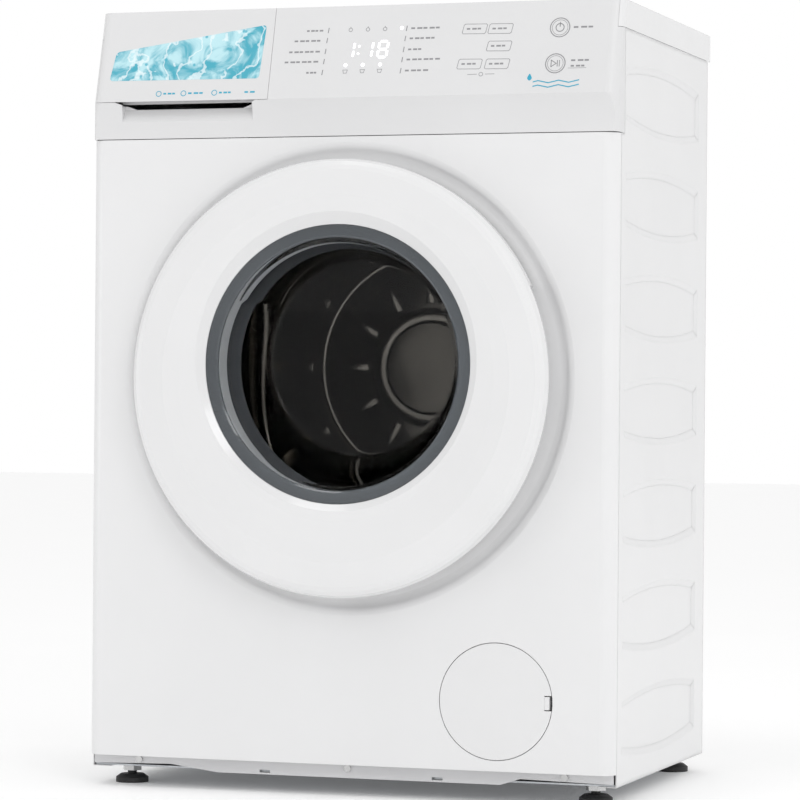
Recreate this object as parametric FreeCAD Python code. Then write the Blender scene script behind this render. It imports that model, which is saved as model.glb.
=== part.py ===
import FreeCAD, Part
import math
import os

# Slim front-loading laundry washing machine, in millimetres.
# Inside this file x is measured from the middle of the machine, y from the
# front panel's face towards the rear, and z from the floor. save() then moves
# every piece by FRONT_Y, so that the origin is under the middle of the whole box.

# ---- overall sizes ----
WIDTH = 595.0
HEIGHT = 850.0
COVER_REAR = 420.0           # rear edge of the top cover behind the front face
DOOR_PROUD = 44.0            # door crest in front of the front face
SHEET = 1.0                  # cabinet sheet steel
CORNER_R = 15.0              # vertical front corners
SEAM = 0.4                   # gap between neighbouring covers

# ---- cabinet ----
SIDE_BOTTOM = 20.0
FRONT_BOTTOM = 34.0
WRAP = 17.0                  # how far the front panel wraps round its corners
HEAD_HEIGHT = 142.0          # control head, from its seam to the top
COVER_THICK = 30.0
COVER_WALL = 3.0
REAR_PANEL_INSET = 14.0      # rear panel in front of the top cover's rear edge
REAR_FLANGE = 16.0
SIDE_FLANGE = 20.0
PANEL_COUNT = 7              # pressed recesses in each side
PANEL_PITCH = 111.6
PANEL_LOWEST = 81.0
PANEL_DEPTH = 3.0
PANEL_FRONT = 44.0
PANEL_REAR_MARGIN = 50.0     # from the recess to the side's rear edge
PANEL_MID = 30.0             # half height in the middle
PANEL_END = 20.5             # half height at the ends
PANEL_SLOPE = 7.0            # width of the sloping wall round each recess

# ---- control head ----
FACE_HEIGHT = 101.0          # sloping control face
FACE_LEAN = 27.0             # how far the face leans back over that height
FACE_OUT = 3.0               # its lower edge in front of the front face
HEAD_CORNER_R = 13.0
HEAD_WALL = 2.6
HEAD_SIDE = 30.0             # depth of the head's side walls
BAND_HOLLOW = 4.2            # depth of the concave band below the face
DRAWER_WIDTH = 205.5         # drawer front, from the left edge
SCOOP_SIDE = 35.5            # scoop's start from the left edge
SCOOP_WIDTH = 152.0
SCOOP_BELOW = 23.0           # scoop's lower edge below the face
GRIP_DROP = 8.0              # height of the finger opening under the drawer
DISPENSER_X = -150.0         # outlet of the drawer housing
DISPENSER_Y = 150.0
DISPENSER_HOSE_R = 22.0

# ---- door ----
DOOR_BELOW_SEAM = 260.0      # ring centre below the head's seam
WINDOW_RISE = 15.0           # window centre above the ring centre
DOOR_R = 233.5
DOOR_EDGE_Y = -30.0
DOOR_WALL = 3.0
DOOR_BACK = -1.0
SHOULDER_R = 222.0
WINDOW_R = 149.0
WINDOW_Y = -33.0
FUNNEL_R = 168.0
BEZEL_WIDTH = 14.0
BEZEL_THICK = 3.0
GRIP_R = 206.0               # floor of the finger gap behind the rim
GRIP_FRONT = -27.0
GRIP_FROM = -90.0            # finger gap's angles, from +X, anticlockwise
GRIP_TO = 25.0
BOWL_WALL = 4.0
BOWL_R = 134.0
BOWL_FLOOR_R = 112.0
BOWL_FLOOR_Y = 60.0
BOWL_FLOOR_RISE = 12.0
DISH_R = 254.0
DISH_SLOPE = 17.0            # width of the soft step into the dish
DISH_DEPTH = 7.0
HINGE_X = -214.0
HINGE_Y = -18.0
HINGE_PIN_R = 3.0
HINGE_LUG_Z = 27.0           # lugs start this far above and below the middle
HOOK_X = 186.0
HOOK_Y = -10.0
FIT = 0.05                   # radial running clearance

# ---- tub and drum ----
PANEL_HOLE_R = 165.0
GASKET_LIP_R = 133.0
TUB_FRONT_Y = 42.0
TUB_SPLIT_Y = 120.0
TUB_REAR_Y = 318.0
TUB_R = 259.0
TUB_WALL = 4.0
TUB_MOUTH_R = 150.0
DRUM_R = 241.0
DRUM_SHEET = 1.0
DRUM_MOUTH_R = 152.0
DRUM_FRONT_Y = 62.0
DRUM_REAR_Y = 296.0
SHAFT_R = 15.0
BEARING_R = 31.0
PULLEY_Y = 352.0
PULLEY_WIDTH = 16.0
DRUM_PULLEY_R = 140.0
MOTOR_PULLEY_R = 11.0
MOTOR_R = 55.0
MOTOR_Z = 125.0
BELT_THICK = 2.5
BELT_GAP = 0.3
SPRING_SIDE = 57.0           # springs' distance from the cabinet's side
SPRING_Y = 275.0
SPRING_R = 9.0
EAR_ROOT = 54.0              # how far the spring ears start inside the tub's outline
DAMPER_X = 160.0
DAMPER_Y = 200.0
TUB_TRAVEL = 8.0
SUMP_X = 100.0               # drain mouth under the tub
SUMP_Y = 80.0
SUMP_HOSE_R = 17.0
SPIGOT_R = 12.0              # sump outlet
HEATER_X = 20.0
HEATER_R = 3.5
BEARING_WIDTH = 14.0
MOTOR_Y = 210.0
MOTOR_SHAFT_R = 6.0
DAMPER_ROD_R = 5.0
DAMPER_FLOOR = 100.0         # lower end of the dampers' cylinders

# ---- base, feet and drain ----
TRAY_THICK = 2.0
FOOT_SIDE = 31.5             # foot axis from the cabinet's side
FOOT_FRONT_Y = 53.0
FOOT_REAR_MARGIN = 28.0
FOOT_PAD_R = 18.0
FOOT_PAD_HEIGHT = 9.0
FOOT_STEM_R = 5.0
FOOT_STEM_TOP = 60.0
NUT_FLATS = 19.0
FILTER_EDGE = 65.3           # filter hole from the cabinet's right side
FILTER_RISE = 45.3           # filter hole above the floor
FILTER_HOLE_R = 62.5
FILTER_GAP = 0.7
PLUG_R = 20.0
PUMP_R = 28.0
HOSE_R = 12.0
INLET_R = 13.2
INLET_X = -200.0
INLET_BELOW_TOP = 80.0
GLAND_BORE_R = 4.2           # mains lead
DRAIN_SPIGOT_R = 11.0
CUP_BACK = 24.0              # rear of the cup behind the filter hole
FLAP_THICK = 2.2             # filter cover
CLIP_DEPTH = 11.0            # reach of the cover's clips
CHAMBER_Y = 84.0             # pump chamber, front and end
CHAMBER_END = 108.0
IMPELLER_SHAFT_R = 2.0
OUTLET_Y = 95.0              # pump outlet
NOZZLE_R = 9.5               # pump nozzle

# ---- places worked out from those sizes ----
HALF = WIDTH / 2
FRONT_Y = DOOR_PROUD - (COVER_REAR + DOOR_PROUD) / 2
SEAM_Z = HEIGHT - HEAD_HEIGHT
FACE_Z = HEIGHT - FACE_HEIGHT
COVER_Z = HEIGHT - COVER_THICK
REAR_Y = COVER_REAR - REAR_PANEL_INSET
SIDE_REAR = REAR_Y + 2 * SHEET
DOOR_Z = SEAM_Z - DOOR_BELOW_SEAM
DRUM_Z = DOOR_Z + WINDOW_RISE
FACE_ANGLE = math.degrees(math.atan2(FACE_LEAN, FACE_HEIGHT))
DRAWER_RIGHT = DRAWER_WIDTH - HALF
FILTER_X = HALF - FILTER_EDGE - FILTER_HOLE_R
FILTER_Z = FILTER_RISE + FILTER_HOLE_R
SPRING_X = HALF - SPRING_SIDE
FOOT_X = HALF - FOOT_SIDE
FOOT_REAR_Y = COVER_REAR - FOOT_REAR_MARGIN
TRAY_Z = SIDE_BOTTOM + SHEET
TRAY_TOP = TRAY_Z + TRAY_THICK
BOWL_FLANGE_Y = WINDOW_Y + 9.0
CUP_R = FILTER_HOLE_R + 1
CLIP_R = FILTER_HOLE_R - 5

V = FreeCAD.Vector
ALONG_X = V(1, 0, 0)
ALONG_Y = V(0, 1, 0)
ALONG_Z = V(0, 0, 1)


# ---- shape helpers ----
def save(name, shape):
    """Move one piece into the row's frame and write it."""
    placed = shape.copy()
    placed.translate(V(0, FRONT_Y, 0))
    placed.exportStep(f"parts/{name}.step")


def box(x0, x1, y0, y1, z0, z1):
    """Return a box between two corners."""
    return Part.makeBox(x1 - x0, y1 - y0, z1 - z0, V(x0, y0, z0))


def rod_x(y, z, radius, x0, x1):
    """Return a cylinder along x."""
    return Part.makeCylinder(radius, x1 - x0, V(x0, y, z), ALONG_X)


def rod_y(x, z, radius, y0, y1):
    """Return a cylinder along y."""
    return Part.makeCylinder(radius, y1 - y0, V(x, y0, z), ALONG_Y)


def rod_z(x, y, radius, z0, z1):
    """Return a cylinder along z."""
    return Part.makeCylinder(radius, z1 - z0, V(x, y, z0), ALONG_Z)


def prism_x(points, x0, x1):
    """Extrude a (y, z) outline along x."""
    corners = [V(x0, y, z) for y, z in points]
    wire = Part.makePolygon(corners + corners[:1])
    return Part.Face(wire).extrude(V(x1 - x0, 0, 0))


def prism_y(points, y0, y1):
    """Extrude an (x, z) outline along y."""
    corners = [V(x, y0, z) for x, z in points]
    wire = Part.makePolygon(corners + corners[:1])
    return Part.Face(wire).extrude(V(0, y1 - y0, 0))


def prism_z(points, z0, z1):
    """Extrude an (x, y) outline along z."""
    corners = [V(x, y, z0) for x, y in points]
    wire = Part.makePolygon(corners + corners[:1])
    return Part.Face(wire).extrude(V(0, 0, z1 - z0))


def turned(points, x, z, degrees=360.0, start=0.0):
    """Turn an (r, y) outline about the y line through (x, z)."""
    corners = [V(x + r, y, z) for r, y in points]
    face = Part.Face(Part.makePolygon(corners + corners[:1]))
    centre = V(x, 0, z)
    face.rotate(centre, V(0, -1, 0), start)
    return face.revolve(centre, V(0, -1, 0), degrees)


def union(shapes):
    """Join solids into one and drop the seams between them."""
    return shapes[0].multiFuse(shapes[1:]).removeSplitter()


def group(shapes):
    """Keep separate solids together in one node."""
    return Part.makeCompound(shapes)


def mirrored(shape):
    """Return the shape's mirror image on the other side of x = 0."""
    return shape.mirror(V(0, 0, 0), ALONG_X)


def plan_face(half, front, rear, radius, z):
    """Return a plan outline whose two front corners are rounded."""
    bend = radius * (1 - math.sqrt(0.5))
    left_arc = Part.Arc(V(-half, front + radius, z), V(bend - half, front + bend, z),
                        V(radius - half, front, z))
    right_arc = Part.Arc(V(half - radius, front, z), V(half - bend, front + bend, z),
                         V(half, front + radius, z))
    edges = [
        left_arc.toShape(),
        Part.makeLine(V(radius - half, front, z), V(half - radius, front, z)),
        right_arc.toShape(),
        Part.makeLine(V(half, front + radius, z), V(half, rear, z)),
        Part.makeLine(V(half, rear, z), V(-half, rear, z)),
        Part.makeLine(V(-half, rear, z), V(-half, front + radius, z)),
    ]
    return Part.Face(Part.Wire(edges))


def cone_loft(x0, y0, z0, r0, x1, y1, z1, r1):
    """Return the solid between two circles that face along y."""
    first = Part.Wire(Part.makeCircle(r0, V(x0, y0, z0), ALONG_Y))
    last = Part.Wire(Part.makeCircle(r1, V(x1, y1, z1), ALONG_Y))
    return Part.makeLoft([first, last], True, True)


def bent_tube(points, radii, outer, inner):
    """Sweep a tube along straight runs that are joined by tangent arcs."""
    edges = []
    start = points[0]
    for before, corner, after, radius in zip(points, points[1:], points[2:], radii):
        back = (before - corner).normalize()
        ahead = (after - corner).normalize()
        half_angle = back.getAngle(ahead) / 2
        reach = radius / math.tan(half_angle)
        enter = corner + back * reach
        leave = corner + ahead * reach
        centre = corner + (back + ahead).normalize() * (radius / math.sin(half_angle))
        middle = centre + (corner - centre).normalize() * radius
        edges.append(Part.makeLine(start, enter))
        edges.append(Part.Arc(enter, middle, leave).toShape())
        start = leave
    edges.append(Part.makeLine(start, points[-1]))
    path = Part.Wire(edges)
    heading = (points[1] - points[0]).normalize()
    skins = []
    for radius in (outer, inner):
        circle = Part.Wire(Part.makeCircle(radius, points[0], heading))
        skins.append(path.makePipeShell([circle], True, True))
    return skins[0].cut(skins[1])


# ---- cabinet ----
def barrel_wire(x, centre_z, grow):
    """Return the outline of one pressed recess, made larger by grow."""
    front = PANEL_FRONT - grow
    rear = SIDE_REAR - PANEL_REAR_MARGIN + grow
    middle = (front + rear) / 2
    end = PANEL_END + grow
    crest = PANEL_MID + grow
    low_front = V(x, front, centre_z - end)
    low_rear = V(x, rear, centre_z - end)
    high_rear = V(x, rear, centre_z + end)
    high_front = V(x, front, centre_z + end)
    edges = [
        Part.Arc(low_front, V(x, middle, centre_z - crest), low_rear).toShape(),
        Part.makeLine(low_rear, high_rear),
        Part.Arc(high_rear, V(x, middle, centre_z + crest), high_front).toShape(),
        Part.makeLine(high_front, low_front),
    ]
    return Part.Wire(edges)


def barrel_pocket(face_x, depth, grow):
    """Return the tapered solid of one pressed recess for the +x side."""
    pockets = []
    for index in range(PANEL_COUNT):
        centre_z = PANEL_LOWEST + index * PANEL_PITCH
        mouth = barrel_wire(face_x, centre_z, grow + PANEL_SLOPE)
        floor = barrel_wire(face_x - depth, centre_z, grow)
        pockets.append(Part.makeLoft([mouth, floor], True, True))
    return pockets


def make_side_panel():
    """Return the right side panel with its flanges and pressed recesses."""
    inner = HALF - SHEET
    top = COVER_Z - SEAM
    front = WRAP + SEAM
    skin = box(inner, HALF, front, SIDE_REAR, SIDE_BOTTOM, top)
    bottom = box(HALF - SIDE_FLANGE, inner, front, SIDE_REAR, SIDE_BOTTOM, TRAY_Z)
    upper = box(HALF - SIDE_FLANGE, inner, HEAD_SIDE + SEAM, SIDE_REAR, top - SHEET, top)
    rear = box(HALF - REAR_FLANGE, inner, SIDE_REAR - SHEET, SIDE_REAR, SIDE_BOTTOM, top)
    panel = union([skin, bottom, upper, rear])
    head_notch = box(HALF - SIDE_FLANGE, HALF + 1, 0, HEAD_SIDE + SEAM, SEAM_Z, top + 1)
    panel = panel.cut(head_notch)
    pressed = panel.fuse(barrel_pocket(inner, PANEL_DEPTH, 0))
    return pressed.cut(barrel_pocket(HALF, PANEL_DEPTH, 0)).removeSplitter()


def dish_curve(y):
    """Return the two tangent arcs of the soft step, drawn from y at its outer end."""
    run = DISH_SLOPE / 2
    drop = DISH_DEPTH / 2
    radius = (run ** 2 + drop ** 2) / (2 * drop)
    half_turn = math.atan2(drop, run)
    across = radius * math.sin(half_turn)
    down = radius * (1 - math.cos(half_turn))
    outer = V(DISH_R, y, DOOR_Z)
    middle = V(DISH_R - run, y + drop, DOOR_Z)
    inner = V(DISH_R - DISH_SLOPE, y + DISH_DEPTH, DOOR_Z)
    first = Part.Arc(outer, V(DISH_R - across, y + down, DOOR_Z), middle)
    second = Part.Arc(middle, V(inner.x + across, inner.y - down, DOOR_Z), inner)
    return outer, inner, [first.toShape(), second.toShape()]


def dish_section():
    """Return the section of the dished sheet, from its rim to inside the door mouth."""
    outer, inner, front_arcs = dish_curve(0)
    outer_back, inner_back, back_arcs = dish_curve(SHEET)
    rim = V(DISH_R + 2, 0, DOOR_Z)
    rim_back = V(DISH_R + 2, SHEET, DOOR_Z)
    mouth = V(PANEL_HOLE_R - 30, DISH_DEPTH, DOOR_Z)
    mouth_back = V(PANEL_HOLE_R - 30, DISH_DEPTH + SHEET, DOOR_Z)
    edges = [Part.makeLine(rim, outer)] + front_arcs
    edges += [Part.makeLine(inner, mouth), Part.makeLine(mouth, mouth_back),
              Part.makeLine(mouth_back, inner_back)]
    edges += back_arcs
    edges += [Part.makeLine(outer_back, rim_back), Part.makeLine(rim_back, rim)]
    return Part.Face(Part.Wire(Part.__sortEdges__(edges)))


def make_front_panel():
    """Return the front sheet with its dish, door mouth and filter hole."""
    top = SEAM_Z - SEAM
    inner_r = CORNER_R - SHEET
    outside = plan_face(HALF, 0, WRAP, CORNER_R, FRONT_BOTTOM)
    inside = plan_face(HALF - SHEET, SHEET, WRAP + 1, inner_r, FRONT_BOTTOM - 1)
    height = top - FRONT_BOTTOM
    shell = outside.extrude(V(0, 0, height)).cut(inside.extrude(V(0, 0, height + 2)))
    floor = plan_face(HALF - SHEET / 2, SHEET / 2, CORNER_R, inner_r, FRONT_BOTTOM)
    ceiling = floor.copy()
    ceiling.translate(V(0, 0, height - SHEET))
    panel = union([shell, floor.extrude(V(0, 0, SHEET)), ceiling.extrude(V(0, 0, SHEET))])
    panel = panel.cut(rod_y(0, DOOR_Z, DISH_R + 1, -1, SHEET + 1))
    dish = dish_section().revolve(V(0, 0, DOOR_Z), V(0, -1, 0), 360)
    panel = union([panel, dish])
    flange = turned([(PANEL_HOLE_R - 1, DISH_DEPTH), (PANEL_HOLE_R + SHEET, DISH_DEPTH),
                     (PANEL_HOLE_R + SHEET, DISH_DEPTH + 12), (PANEL_HOLE_R - 1, DISH_DEPTH + 12)],
                    0, DRUM_Z)
    panel = union([panel, flange])
    panel = panel.cut(rod_y(0, DRUM_Z, PANEL_HOLE_R, -1, DISH_DEPTH + 20))
    hook_slot = box(HOOK_X - 12, HOOK_X + 9, -1, DISH_DEPTH + 5, DOOR_Z - 9, DOOR_Z + 9)
    filter_hole = rod_y(FILTER_X, FILTER_Z, FILTER_HOLE_R, -1, SHEET + 1)
    return panel.cut([hook_slot, filter_hole])


def make_rear_panel():
    """Return the rear sheet with its stiffening press, holes and access mouth."""
    half = HALF - 2 * SHEET
    sheet = box(-half, half, REAR_Y, REAR_Y + SHEET, TRAY_TOP, COVER_Z - 3)
    mouth = rod_y(0, DRUM_Z, DRUM_PULLEY_R, REAR_Y - 1, REAR_Y + 2)
    holes = [rod_y(x, z, 11, REAR_Y - 1, REAR_Y + 2) for x, z in transit_places()]
    holes.append(rod_y(INLET_X, HEIGHT - INLET_BELOW_TOP, 16, REAR_Y - 1, REAR_Y + 2))
    holes.append(rod_y(gland_x(), HEIGHT - INLET_BELOW_TOP, 9, REAR_Y - 1, REAR_Y + 2))
    holes.append(rod_y(drain_x(), FILTER_Z, HOSE_R + 1, REAR_Y - 1, REAR_Y + 2))
    return sheet.cut([mouth] + holes)


def transit_places():
    """Return the (x, z) of the four transit bolt holes."""
    reach = DRUM_PULLEY_R + 28
    return [(side * reach, DRUM_Z + rise) for side in (-1, 1) for rise in (-95, 105)]


def gland_x():
    """Return the mains inlet's x."""
    return HALF - 90


def drain_x():
    """Return the drain hose's x along the right side."""
    return FILTER_X + 70


def make_transit_caps():
    """Return the four plugs in the transit bolt holes."""
    caps = []
    for x, z in transit_places():
        head = rod_y(x, z, 15, REAR_Y + SHEET, REAR_Y + SHEET + 3)
        stem = rod_y(x, z, 10.9, REAR_Y - 8, REAR_Y + SHEET)
        caps.append(head.fuse(stem))
    return group(caps)


def make_service_cover():
    """Return the dished cover over the drum pulley."""
    edge = DRUM_PULLEY_R + 12
    start = REAR_Y + SHEET
    return turned([(0, start + 9), (edge - 24, start + 9), (edge - 14, start), (edge, start),
                   (edge, start + 1.2), (edge - 13.5, start + 1.2), (edge - 23.5, start + 10.2),
                   (0, start + 10.2)], 0, DRUM_Z)


def rear_screws():
    """Return the pan-head screws of the service cover and the rear panel."""
    start = REAR_Y + SHEET
    screws = []
    for step in range(6):
        angle = math.radians(30 + 60 * step)
        x = (DRUM_PULLEY_R + 6) * math.cos(angle)
        z = DRUM_Z + (DRUM_PULLEY_R + 6) * math.sin(angle)
        screws.append(rod_y(x, z, 4, start + 1.2, start + 3.4))
    for side in (-1, 1):
        for z in (TRAY_TOP + 30, DRUM_Z, COVER_Z - 28):
            x = side * (HALF - REAR_FLANGE / 2)
            screws.append(rod_y(x, z, 4, SIDE_REAR, SIDE_REAR + 2.4))
    return screws


def head_prism(inset, height=FACE_HEIGHT):
    """Return the leaning solid behind the control face, drawn in by inset."""
    face = plan_face(HALF - inset, inset - FACE_OUT, COVER_REAR + 60, HEAD_CORNER_R - inset, FACE_Z)
    lean = FACE_LEAN * height / FACE_HEIGHT
    return face.extrude(V(0, lean, height))


def face_y(z):
    """Return the control face's y at a height."""
    return FACE_LEAN * (z - FACE_Z) / FACE_HEIGHT - FACE_OUT


def slope_slab(depth, x0, x1, z0, z1):
    """Return the slab from in front of the control face to depth behind it."""
    return prism_x([(face_y(z0) - 20, z0), (face_y(z0) + depth, z0),
                    (face_y(z1) + depth, z1), (face_y(z1) - 20, z1)], x0, x1)


def make_top_cover():
    """Return the hollow top cover, open underneath and towards the control head."""
    outer = box(-HALF, HALF, FACE_LEAN - 30, COVER_REAR, COVER_Z, HEIGHT)
    outer = outer.common(head_prism(0))
    inner = box(COVER_WALL - HALF, HALF - COVER_WALL, -30, COVER_REAR - COVER_WALL,
                COVER_Z - 1, HEIGHT - COVER_WALL)
    hollow = head_prism(COVER_WALL - SEAM / 2)
    shell = outer.cut(slope_slab(HEAD_WALL + SEAM, -HALF - 1, HALF + 1, COVER_Z - 1, HEIGHT + 1))
    return shell.cut(inner.common(hollow))


def make_crossbar(y0, z0, reach):
    """Return an open channel across the cabinet."""
    bar = box(-reach, reach, y0, y0 + 20, z0, z0 + 18)
    return bar.cut(box(-reach - 1, reach + 1, y0 + 1.5, y0 + 18.5, z0 - 1, z0 + 16.5))


def spring_brackets():
    """Return the two shelves that the tub's springs hang from."""
    top = spring_top()
    shelf = box(SPRING_X - 12, HALF - SHEET, SPRING_Y - 16, SPRING_Y + 16, top, top + 3)
    web = box(HALF - SHEET - 3, HALF - SHEET, SPRING_Y - 16, SPRING_Y + 16, top, top + 18)
    right = shelf.fuse(web)
    return [right, mirrored(right)]


def spring_top():
    """Return the height of the springs' upper ends."""
    return COVER_Z - 27


def cabinet():
    """Write the covers, panels and bars of the cabinet."""
    right = make_side_panel()
    save("side_panel_right", right)
    save("side_panel_left", mirrored(right))
    save("front_panel", make_front_panel())
    save("rear_panel", make_rear_panel())
    save("rear_service_cover", make_service_cover())
    save("transit_caps", make_transit_caps())
    save("cabinet_screws", group(rear_screws() + base_screws()))
    save("top_cover", make_top_cover())
    bars = [make_crossbar(WRAP, SEAM_Z + 4, HALF - HEAD_WALL - SEAM),
            make_crossbar(REAR_Y - 24, COVER_Z - 22, HALF - SHEET)]
    save("frame_bars", group(bars + spring_brackets()))


# ---- control head and dispenser ----
def head_region(grow):
    """Return the drawer front's share of the head, made larger by grow."""
    return slope_slab(HEAD_WALL + grow, -HALF - 1, DRAWER_RIGHT + grow, FACE_Z - grow, HEIGHT + 1)


def band_outline(offset):
    """Return the (y, z) outline of what the concave band leaves free in front."""
    drop = HEAD_HEIGHT - FACE_HEIGHT
    low = V(0, offset, SEAM_Z + SEAM)
    middle = V(0, BAND_HOLLOW - FACE_OUT + offset, FACE_Z - drop * 0.55)
    high = V(0, offset - FACE_OUT, FACE_Z)
    arc = Part.Arc(low, middle, high).toShape()
    far_high = V(0, -30, FACE_Z)
    far_low = V(0, -30, SEAM_Z + SEAM)
    edges = [arc, Part.makeLine(high, far_high), Part.makeLine(far_high, far_low),
             Part.makeLine(far_low, low)]
    face = Part.Face(Part.Wire(edges))
    face.translate(V(-HALF - 1, 0, 0))
    return face.extrude(V(WIDTH + 2, 0, 0))


def head_solid(inset):
    """Return the whole control head, drawn in by inset."""
    low_z = SEAM_Z + SEAM
    plan = plan_face(HALF - inset, inset - FACE_OUT, COVER_REAR, HEAD_CORNER_R - inset, low_z)
    band = plan.extrude(V(0, 0, FACE_Z - low_z)).cut(band_outline(inset))
    return band.fuse(head_prism(inset))


def scoop_cut(grow):
    """Return the finger scoop below the drawer front, made larger by grow."""
    left = SCOOP_SIDE - HALF - grow
    low = FACE_Z - SCOOP_BELOW - grow
    top = FACE_Z - GRIP_DROP
    outline = [(-20, low), (0.5 + grow, low), (9 + grow, top), (9 + grow, FACE_Z + 3), (-20, FACE_Z + 3)]
    return prism_x(outline, left, left + SCOOP_WIDTH + 2 * grow)


def finger_opening():
    """Return the slot under the drawer front that fingers go into."""
    left = SCOOP_SIDE - HALF
    right = left + SCOOP_WIDTH
    low = FACE_Z - GRIP_DROP
    return prism_y([(left - 12, FACE_Z + 1), (left + 14, low), (right - 14, low), (right + 8, FACE_Z + 1)],
                   -20, 20)


def make_control_fascia():
    """Return the control fascia with its band, scoop and drawer opening."""
    shell = head_solid(0).cut(head_solid(HEAD_WALL))
    lower = box(-HALF - 1, HALF + 1, -20, HEAD_SIDE, SEAM_Z - 1, COVER_Z - SEAM)
    upper = slope_slab(HEAD_WALL, -HALF - 1, HALF + 1, COVER_Z - SEAM, HEIGHT + 1)
    shell = shell.common(lower.fuse(upper))
    skin = scoop_cut(HEAD_WALL).common(head_solid(0)).cut(box(-HALF, HALF, -20, 20, FACE_Z - 4, HEIGHT))
    shell = shell.fuse(skin).cut(scoop_cut(0)).cut(finger_opening())
    shell = shell.cut(head_region(SEAM))
    wall_x = DRAWER_RIGHT + SEAM
    wall = box(wall_x, wall_x + HEAD_WALL, -20, HEAD_SIDE, FACE_Z, COVER_Z - SEAM)
    wall = wall.common(head_prism(0))
    return union([shell, wall])


def make_drawer_front():
    """Return the drawer's front plate."""
    return head_prism(0).common(head_region(0)).common(
        box(-HALF - 1, HALF, -20, COVER_REAR, FACE_Z, HEIGHT))


def tray_span():
    """Return the drawer tray's x limits."""
    return DRAWER_RIGHT - 178, DRAWER_RIGHT - 13


def make_drawer_tray():
    """Return the tray with its three compartments."""
    left, right = tray_span()
    low = FACE_Z + 16
    top = COVER_Z - 8
    front = face_y(top) + HEAD_WALL
    outer = box(left, right, front, 236, low, top)
    middle = left + 62
    second = middle + 40
    cells = [box(left + 2, middle - 1, front + 14, 234, low + 2, top + 1),
             box(middle + 1, second - 1, front + 14, 234, low + 2, top + 1),
             box(second + 1, right - 2, front + 14, 234, low + 2, top + 1)]
    tray = outer.cut(cells)
    return tray.cut(slope_slab(HEAD_WALL, left - 1, right + 1, low - 1, top + 1))


def make_grip_rail():
    """Return the perforated rail behind the drawer's finger opening."""
    left, right = tray_span()
    y0 = face_y(FACE_Z + 16) + HEAD_WALL + 6
    rail = box(left + 4, right - 4, y0, y0 + 3, FACE_Z - 2, FACE_Z + 16)
    first = left + 78
    holes = [rod_y(first + 15.5 * step, FACE_Z + 4, 3.4, y0 - 1, y0 + 4) for step in range(5)]
    return rail.cut(holes)


def make_siphon_cap():
    """Return the softener compartment's siphon cap."""
    left = tray_span()[0] + 62
    low = FACE_Z + 20
    plate = box(left + 2, left + 38, 150, 232, COVER_Z - 14, COVER_Z - 11)
    post = rod_z(left + 20, 200, 7, low, COVER_Z - 14)
    return plate.fuse(post)


def make_dispenser_housing():
    """Return the box that the drawer runs in."""
    left, right = tray_span()
    wall = 2.2
    gap = 0.8
    outer = box(left - gap - wall, right + gap + wall, HEAD_SIDE + 2, 252,
                FACE_Z + 16 - gap - wall, COVER_Z - 1.6)
    inner = box(left - gap, right + gap, HEAD_SIDE, 252 - wall,
                FACE_Z + 16 - gap, COVER_Z - 1.6 - wall)
    drain = rod_z(DISPENSER_X, DISPENSER_Y, HOSE_R, FACE_Z, FACE_Z + 20)
    inlet = rod_y(INLET_X, HEIGHT - INLET_BELOW_TOP + 20, 5, 240, 260)
    return outer.cut([inner, drain, inlet])


def tub_top(x):
    """Return the height of the tub's outside above x."""
    return DRUM_Z + math.sqrt(TUB_R ** 2 - x ** 2)


def make_dispenser_hose():
    """Return the bellows from the dispenser down towards the tub."""
    top = FACE_Z + 13
    low = tub_top(DISPENSER_X + DISPENSER_HOSE_R) + TUB_TRAVEL + 6
    count = 6
    ring = (top - low) / count
    rings = []
    for index in range(count):
        z = low + index * ring
        rings.append(rod_z(DISPENSER_X, DISPENSER_Y, DISPENSER_HOSE_R, z, z + ring / 2))
        rings.append(rod_z(DISPENSER_X, DISPENSER_Y, DISPENSER_HOSE_R - 2, z + ring / 2, z + ring))
    bore = rod_z(DISPENSER_X, DISPENSER_Y, DISPENSER_HOSE_R - 3.5, low - 1, top + 1)
    return union(rings).cut(bore)


def on_face(shape):
    """Lay a piece drawn as (x, depth, height) behind the leaning control face."""
    laid = shape.copy()
    laid.rotate(V(0, 0, 0), ALONG_X, -FACE_ANGLE)
    laid.translate(V(0, -FACE_OUT, FACE_Z))
    return laid


def make_control_board():
    """Return the circuit board with its display block, touch pads and components."""
    board = box(-62, HALF - 22, 12, 13.6, 14, 94)
    chips = [box(70 + 26 * step, 82 + 26 * step, 13.6, 17, 34, 46) for step in range(4)]
    relay = box(200, 224, 13.6, 28, 56, 78)
    display = box(-16, 64, 4, 12, 26, 84)
    places = [(136, 74), (164, 74), (164, 54), (133, 34), (164, 34), (230, 73), (228, 33)]
    pads = [rod_y(x, z, 6, 3.2, 12) for x, z in places]
    return on_face(union([board, relay, display] + chips + pads))


def make_inlet_valve():
    """Return the water inlet valve with its threaded spigot."""
    z = HEIGHT - INLET_BELOW_TOP
    flange = rod_y(INLET_X, z, 20, REAR_Y - 3, REAR_Y)
    thread = rod_y(INLET_X, z, INLET_R, REAR_Y - 6, COVER_REAR - 1)
    body = box(INLET_X - 18, INLET_X + 18, REAR_Y - 46, REAR_Y - 3, z - 16, z + 28)
    bore = rod_y(INLET_X, z, 8, REAR_Y - 20, COVER_REAR)
    return union([flange, thread, body]).cut(bore)


def make_inlet_hose():
    """Return the hose from the valve to the dispenser."""
    z = HEIGHT - INLET_BELOW_TOP + 20
    return rod_y(INLET_X, z, 8, 252, REAR_Y - 46).cut(rod_y(INLET_X, z, 5.5, 250, REAR_Y))


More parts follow.
